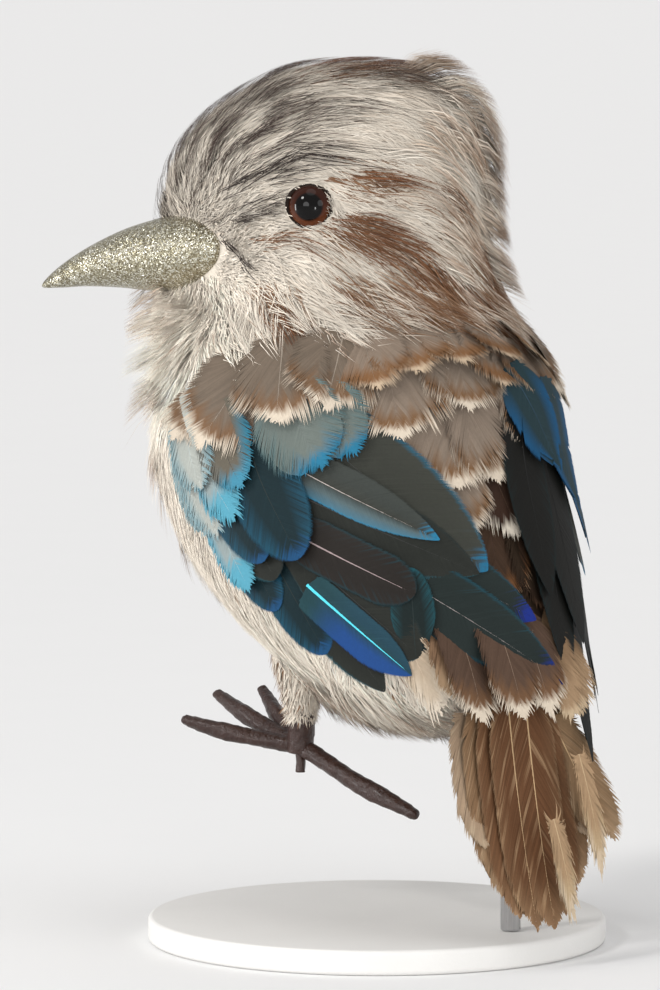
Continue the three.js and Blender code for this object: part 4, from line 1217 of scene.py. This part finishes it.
def laid(rows, side, seed):
    """Feathers laid over the wing's guide. A row is root and tip as (degrees from the spine, height), lift at
    root and tip, width, look and other settings."""
    made = []
    for k, (root, tip, lift, width, look, more) in enumerate(rows):
        more = dict(more)
        if "soft_look" in look.__qualname__:
            more = {"banded": True, "barbs": 150, "loose": 0.45, "splits": 0.6, "slant": 27, **more}
        roll = np.radians(more.pop("roll", 4))
        made.append(feather(on_guide(root, tip, lift, side, roll), width, look, seed + k, **more))
    return made


LONG, BROAD, BLUNT = (0.55, 0.3, 0.5, 0.85), (0.45, 0.5, 0.5), (0.55, 0.35, 0.72)
LEFT_WING = [
    # long flight feathers along the lower edge, lowest first
    ((60, 78), (44, 55), (0.2, 1.0), 11, plain_dark, {"edge": LONG}),
    ((68, 84), (58, 62), (0.3, 1.0), 12, round_teal, {"edge": BROAD}),
    ((78, 88), (69, 70), (0.3, 1.2), 11, round_teal, {"edge": BROAD}),
    ((43, 83), (-12.5, 55.5), (0.8, 4.6), 14, cobalt_tip, {"edge": LONG, "barbs": 150, "shaft": 0.35}),
    ((43, 87), (-7, 68), (1.0, 3.8), 13, cobalt_tip, {"edge": LONG, "barbs": 140, "shaft": 0.3}),
    # dark feathers of the middle
    ((60, 84), (31, 62), (1.0, 2.6), 15, plain_dark, {"edge": BROAD, "barbs": 110}),
    ((57, 75.3), (34.5, 58.5), (1.9, 3.0), 12, cyan_shaft,
     {"edge": (0.85, 0.12, 0.6, 0.8), "shaft": 0.7, "vanes": (0.8, 0.6), "barbs": 120}),
    ((32, 62), (27.5, 79), (2.4, 3.2), 9, round_tip, {"edge": BROAD, "barbs": 100}),
    ((64, 88), (28, 74), (1.8, 3.6), 10.5, pink_shaft, {"edge": (0.5, 0.4, 0.8), "barbs": 120, "shaft": 0.6}),
    ((57, 94), (9, 77.5), (2.0, 3.8), 14, plain_dark, {"edge": LONG, "barbs": 130}),
    ((72, 92), (66, 76), (1.0, 2.2), 12, plain_dark, {"edge": BROAD}),
    ((52, 108), (6.5, 78), (1.6, 4.0), 21, big_dark,
     {"edge": (0.6, 0.3, 0.45, 0.7), "barbs": 170, "vanes": (0.8, 1.0)}),
    ((60, 101), (18.5, 84.2), (2.2, 4.4), 13, band_below,
     {"edge": LONG, "barbs": 130, "shaft": 0.4, "vanes": (0.62, 0.8)}),
    ((76, 99), (67, 79.5), (1.8, 3.4), 13, round_teal, {"edge": BROAD}),
    ((66, 104), (56, 80.5), (2.0, 4.2), 16, round_teal, {"edge": BROAD, "barbs": 110}),
    # pale blue feathers at the front edge
    ((92, 103), (85, 84), (1.0, 2.6), 9, pale_blue, {"loose": 0.6}),
    ((84, 92), (74.5, 74), (1.2, 3.0), 9, cyan_front, {"loose": 0.5}),
    ((88, 105), (80, 84), (1.2, 3.2), 12, pale_blue, {"loose": 0.7, "splits": 0.5}),
    ((84, 104), (72, 87.5), (1.4, 4.0), 11, cyan_front, {"loose": 0.7, "splits": 0.8}),
    # coverts
    ((79, 110), (67, 94), (1.4, 4.2), 15, taupe_rimmed, {"edge": BROAD, "loose": 0.5}),
    ((92, 112), (80, 93), (1.2, 4.0), 14, pale_blue, {"loose": 0.6, "splits": 0.6}),
    ((50, 114), (36, 101), (0.6, 4.2), 16, grey_teal, {"edge": BROAD, "loose": 0.4, "barbs": 120}),
    ((60, 114), (44, 98.5), (1.0, 4.8), 20, grey_teal, {"edge": (0.55, 0.4, 0.66), "loose": 0.4, "barbs": 150}),
    # shoulder feathers with cream fringes
    ((40, 124), (45, 109.5), (-2.4, 4.2), 20, shoulder_look, {"edge": BLUNT}),
    ((86, 112), (90, 102), (-2.0, 4.2), 14, shoulder_look, {"edge": BLUNT}),
    ((60, 123), (57, 106.5), (-2.0, 5.2), 22, shoulder_look, {"edge": BLUNT}),
    ((71, 119), (79, 101.5), (-2.4, 5.2), 21, shoulder_look, {"edge": BLUNT}),
]
RIGHT_WING = [
    ((44, 80), (54, 50), (0.8, 4.2), 12, flight_black, {"edge": LONG, "barbs": 110}),
    ((38, 92), (49, 47), (1.0, 3.6), 11, flight_black, {"edge": LONG, "barbs": 140}),
    ((30, 100), (26, 39.5), (1.2, 3.4), 10, flight_black, {"edge": LONG, "barbs": 150}),
    ((22, 106), (17.5, 55), (1.6, 4.0), 13, flight_black, {"edge": LONG, "barbs": 140}),
    ((56, 94), (60, 64), (0.6, 2.4), 14, flight_black, {"edge": LONG, "barbs": 110}),
    ((16, 112), (14, 72), (1.8, 4.2), 13, flight_black, {"edge": LONG, "barbs": 130}),
    ((26, 110), (27, 62), (2.0, 4.6), 14, flight_black, {"edge": LONG, "barbs": 130}),
    ((68, 94), (74, 72), (0.8, 2.2), 13, round_teal, {"edge": BROAD}),
    ((48, 104), (46, 74), (1.2, 3.6), 16, big_dark, {"edge": BROAD, "barbs": 120}),
    ((62, 106), (62, 80), (1.4, 2.8), 15, round_teal, {"edge": BROAD}),
    ((78, 104), (82, 84), (1.2, 2.6), 12, cyan_front, {"loose": 0.3}),
    ((40, 110), (51, 79), (2.4, 5.2), 12, far_blue, {"edge": LONG, "barbs": 120, "splits": 0.8}),
    ((30, 114), (38, 88), (2.4, 5.4), 13, far_blue, {"edge": LONG, "barbs": 110, "splits": 0.8}),
    ((14, 117), (27, 96), (1.6, 5.6), 13, far_blue, {"edge": LONG, "barbs": 110, "splits": 0.8}),
    ((74, 114), (73, 92), (2.0, 3.4), 14, grey_teal, {"edge": BROAD, "loose": 0.25}),
    ((58, 116), (58, 93), (2.0, 3.6), 15, grey_teal, {"edge": BROAD, "loose": 0.25}),
    ((40, 124), (45, 110), (-2.4, 4.2), 20, shoulder_look, {"edge": BLUNT}),
    ((92, 120), (92, 102.5), (-2.0, 4.2), 18, shoulder_look, {"edge": BLUNT}),
    ((60, 124), (57, 106.5), (-1.6, 5.2), 22, shoulder_look, {"edge": BLUNT}),
    ((79, 123), (80.5, 102), (-1.6, 5.2), 24, shoulder_look, {"edge": BLUNT}),
]
# The back's feathers, lowest first; the last ones lie on top: tip as (degrees from the spine, height), how
# far the root is turned from it, the width and the look.
BACK = [
    (14, 57, 0, 17, deep_look), (-4, 56, 0, 17, deep_look), (-17, 61, 0, 16, deep_look),
    (16, 68, 2, 16, rufous_look), (1, 72, -2, 18, rufous_look), (-14, 70, -2, 16, deep_look),
    (-20, 86, -4, 16, middle_look), (20, 86, 3, 16, mantle_look), (-9, 84, 7, 18, middle_look),
    (7.5, 84.5, 4, 15, mantle_look), (-4, 94.5, 4, 19, mantle_look), (9, 93.5, 0, 25, mantle_look),
    (-18, 100, -4, 18, mantle_look), (-30, 104, -4, 18, mantle_look), (25, 103.5, 3, 24, mantle_look),
    (4.5, 108.5, -2, 21, mantle_look), (-9, 113, -3, 18, upper_look), (-24, 111, -3, 20, upper_look),
    (31, 113.5, 3, 17, upper_look), (19, 116.5, 2, 18, upper_look), (4, 118, 0, 15, upper_look),
    (-13, 118.5, -2, 16, upper_look), (-33, 117, -3, 18, upper_look)]


def back():
    rows = []
    for k, (degrees, height, turned, width, look) in enumerate(BACK):
        reach = 22 if height < 102 else 124.5 - height
        lift = (-0.8, 1.2 + 0.1 * k) if height < 102 else (-3.2, 2.6 + 0.04 * k)
        root, tip = (degrees + turned, height + reach), (degrees, height)
        rows.append((root, tip, lift, width, look, {"roll": 0, "edge": (0.65, 0.3, 0.74)}))
    return laid(rows, 1, 700)


# The tail's feathers from the middle outwards: how far aside, height and how far back the tip lies, and the
# colours, dark and light. Then its cover feathers: how far aside, height and how far back.
TAIL = [
    (2, 8.3, 51, [0.12, 0.055, 0.026], [0.42, 0.28, 0.16]), (5.8, 11, 50.4, [0.13, 0.06, 0.028], [0.4, 0.26, 0.15]),
    (9.4, 16.5, 49.4, [0.2, 0.115, 0.06], [0.45, 0.32, 0.2]), (12.6, 25, 48, [0.34, 0.24, 0.16], [0.5, 0.39, 0.27])]
COVERS = [(-13, 50, 47.5), (15.5, 52, 47), (-9, 49, 49.5), (13, 50, 49), (-3, 50.5, 50), (4.5, 50, 51)]
OUTWARD, AMBER = [0, 1, 0.12], [0.5, 0.34, 0.19]
VANE = {"barbs": 150, "slant": 24, "edge": (0.6, 0.25, 0.66, 0.6)}
FRAYED = {"loose": 1.4, "edge": (0.7, 0.3, 0.6)}


def tail():
    made = []
    for k, (aside, tip, back_at, dark, light) in enumerate(TAIL[::-1]):
        for side in (1, -1):
            under = 0.5 if side > 0 else 0
            root = [side * (9.2 - 2.4 * k), 41.9 + 0.9 * k - under, 51 + k]
            spine = in_air(root, [-2.6 + side * aside, back_at - under, tip], OUTWARD, -0.8, side * np.radians(6))
            made.append(feather(
                spine, 12.5, mottled_look(dark, light, AMBER, k + side), 140 + 2 * k + side,
                splits=0.5 if k > 1 else 0.9, loose=0.25, shaft=0.55, **VANE))
    buff_look = soft_look([0.2, 0.12, 0.07], [0.3, 0.2, 0.12], FRINGE, [0.4, 0.3, 0.2], 7, 2)
    looks = [tan_look, buff_look, tan_look, vent_look, vent_look, vent_look]
    for k, ((aside, tip, back_at), look) in enumerate(zip(COVERS, looks)):
        spine = in_air([aside * 0.75, 40.5 - 0.03 * aside ** 2, 71], [aside, back_at + 1.4, tip], OUTWARD, 1.2)
        made.append(feather(
            spine, 13, look, 160 + k, barbs=120, loose=0.6, splits=1.0, edge=(0.6, 0.3, 0.76), slant=28, banded=True))
    # a pale blade at the tail's right edge and frayed wisps over its tip
    blade = in_air([-9, 44, 49], [-20.5, 50, 24], OUTWARD, -0.8, -0.1)
    pale = mottled_look([0.23, 0.145, 0.08], [0.46, 0.34, 0.22], AMBER, 9)
    made.append(feather(blade, 12, pale, 190, splits=1.0, loose=0.4, shaft=0.5, **VANE))
    straw = soft_look([0.36, 0.24, 0.14], [0.45, 0.33, 0.2], [0.6, 0.48, 0.34], [0.5, 0.36, 0.22], 6, 3)
    for k, (root, tip) in enumerate([([-10, 51.5, 42], [-15, 52.5, 20]), ([-2.5, 53, 30], [-6.5, 54, 11.5])]):
        spine = in_air(root, tip, OUTWARD, 0.6)
        made.append(feather(spine, 5, straw, 180 + k, barbs=70, splits=1.4, slant=20, **FRAYED))
    wisp = soft_look([0.42, 0.33, 0.24], [0.5, 0.41, 0.31], [0.62, 0.54, 0.44], [0.5, 0.4, 0.3], 8, 3)
    spine = on_guide((35, 70), (29, 51), (1.6, 3.4), 1)
    made.append(feather(spine, 8, wisp, 170, barbs=90, splits=1.2, slant=22, **FRAYED))
    return made


bundle("left_wing_feathers", laid(LEFT_WING, 1, 500), DYED, "wing_feather", ("wing_left",))
bundle("right_wing_feathers", laid(RIGHT_WING, -1, 600), DYED, "wing_feather", ("wing_right",))
bundle("back_feathers", back(), NATURAL, "back_feather", ("mantle",))
bundle("tail_feathers", tail(), NATURAL, "tail_feather", ("tail",))


# ---- feet ----

def wrapped_wire():
    """Dark brown paper wound round wire and varnished: fine crossing wrinkles and a soft gloss."""
    finish = Finish("wrapped_wire")
    where = finish.place()
    fine = finish.noise(where, 900, 4, 0.6)
    coarse = finish.noise(where, 260, 3)
    colour = finish.mix(coarse, (0.01, 0.004, 0.003, 1), (0.04, 0.017, 0.012, 1))
    colour = finish.mix(fine * 0.35, colour, (0.085, 0.042, 0.034, 1))
    wrinkles = finish.bump(fine + coarse, 0.0006, 0.8)
    return finish.surface(
        colour, 0.32, wrinkles, Specular_IOR_Level=0.35, Coat_Weight=0.12, Coat_Roughness=0.2)


def wound(path, radius, turns, rows=60, columns=16):
    """A wound rod: circles of a given radius along a smooth path, with low spiral ridges where each turn of
    the paper lies over the one before, and rounded ends."""
    path = np.asarray(path, float)

    def curve(t):
        s = t * (len(path) - 1)
        return np.stack([column(path, i, s) for i in range(3)], -1)

    def place_of(along, around):
        t = (1 - np.cos(np.pi * along)) / 2
        ahead = unit(curve(np.minimum(t + 0.01, 1)) - curve(np.maximum(t - 0.01, 0)))
        a = unit(np.cross(ahead, np.array([0.31, 0.17, 0.93])))
        b = np.cross(ahead, a)
        cap = np.minimum(1, np.sin(np.pi * along) * 1.8)
        ridge = 0.16 * ((turns * t + around / (2 * np.pi)) % 1) + 0.1 * np.sin(around * 3 + 11 * t)
        r = ((radius(t) + ridge - 0.08) * cap)[..., None]
        return curve(t) + a * r * np.cos(around)[..., None] + b * r * np.sin(around)[..., None]
    return loft(rows, columns, place_of)


LEGS = {
    "left": {"knee": [9.2, -12.8, 50], "ankle": [9, -13.6, 38.4], "sag": -1.2, "nub": 5.4, "toes": [
        ([14.4, -21, 4.4], 1.85), ([3.2, -25, 8.6], 1.9), ([-4.6, -19.7, 9.6], 1.75), ([-7, 29.6, -11.6], 2)]},
    "right": {"knee": [-9.5, -9.8, 53.5], "ankle": [-9.4, -13.2, 47.6], "sag": -2.4, "nub": 3.4, "toes": [
        ([-5.5, -15.5, 10], 1.7), ([-0.6, -18.5, 11.5], 1.75), ([4.4, -15, 10], 1.65), ([0.5, -12, 1.5], 1.8)]}}
WIRE = wrapped_wire()


def toe_radius(full):
    """A toe's radius along it: full with a slight waist, then narrower towards the claw."""
    return lambda t: full * np.where(t < 0.6, 1 - 0.12 * np.sin(5 * t), 1 - 1.45 * (t - 0.6))


for leg, sizes in LEGS.items():
    ankle, knee = np.array(sizes["ankle"]), np.array(sizes["knee"])
    parts = [wound([knee, (knee + ankle) / 2, ankle - [0, 0, 1.6]], lambda t: 2.75 + 0 * t, 5, 50, 18)]
    for reach, radius in sizes["toes"]:
        tip = ankle + reach
        middle = (ankle + tip) / 2 + [0, 0, sizes["sag"] / 2]
        parts.append(wound([ankle, middle, tip], toe_radius(radius), 11))
    nub = ankle + [0.4, 0.6, -sizes["nub"]]
    parts.append(wound([ankle, (ankle + nub) / 2, nub], lambda t: 0.95 + 0 * t, 2, 20, 12))
    points, faces = joined(parts)
    piece(f"foot_wire_{leg}", points, faces, WIRE, "foot", (f"foot_{leg}",))


# ---- stand ----

def turned(profile, columns=96):
    """A turned shape: a profile of (radius, height) rows carried round the upright axis."""
    profile = np.asarray(profile, float)
    around = np.arange(columns) / columns * 2 * np.pi
    ring = np.stack([np.cos(around), np.sin(around), 0 * around], -1)
    points, faces = capped(profile[:, None, :1] * ring + profile[:, None, 1:] * UP)
    return points, [group[:, ::-1] for group in faces]


def stand_paint():
    finish = Finish("stand_paint")
    where = finish.place()
    broad = finish.noise(where, 60, 3)
    fine = finish.noise(where, 1400, 3)
    colour = finish.mix(broad, (0.70, 0.69, 0.67, 1), (0.76, 0.75, 0.73, 1))
    return finish.surface(colour, 0.45 + 0.15 * fine, finish.bump(fine, 0.0001, 0.4))


def rod_steel():
    finish = Finish("rod_steel")
    where = finish.node("ShaderNodeMapping", {}, {"Vector": finish.place(), "Scale": (1, 1, 0.06)})
    streak = finish.noise(where, 2500, 3)
    colour = finish.mix(streak, (0.42, 0.42, 0.43, 1), (0.66, 0.66, 0.67, 1))
    return finish.surface(colour, 0.22 + 0.18 * streak, Metallic=1.0)


round_edge = [(45 + np.sin(a), 4 + np.cos(a)) for a in np.linspace(np.pi / 2, 0, 8)]
foot_edge = [(45 + np.sin(a), 1 + np.cos(a)) for a in np.linspace(np.pi, np.pi / 2, 8)]
points, faces = turned([(20, 0)] + foot_edge + round_edge + [(20, 5)])
piece("stand_disc", points, faces, stand_paint(), "stand", ("stand_base",))
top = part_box("stand_rod")[1][2] / MM
points, faces = turned([(1.9, 5.3), (2, 5.4), (2, 30), (2, top), (1.9, top)], 32)
piece("stand_steel", points + [-8, 33, 0], faces, rod_steel(), "rod", ("stand_rod",))

floor_mesh = bpy.data.meshes.new("floor")
around = np.arange(64) / 64 * 2 * np.pi
floor_mesh.from_pydata([(60 * np.cos(a), 60 * np.sin(a), 0) for a in around], [], [tuple(range(64))])
floor = bpy.data.objects.new("floor", floor_mesh)
bpy.context.scene.collection.objects.link(floor)
floor_finish = Finish("floor_card")
speck = floor_finish.noise(floor_finish.place(), 30, 2)
floor_mesh.materials.append(floor_finish.surface(
    floor_finish.mix(speck, (0.8, 0.8, 0.8, 1), (0.81, 0.81, 0.81, 1)), 1.0, Specular_IOR_Level=0.0))
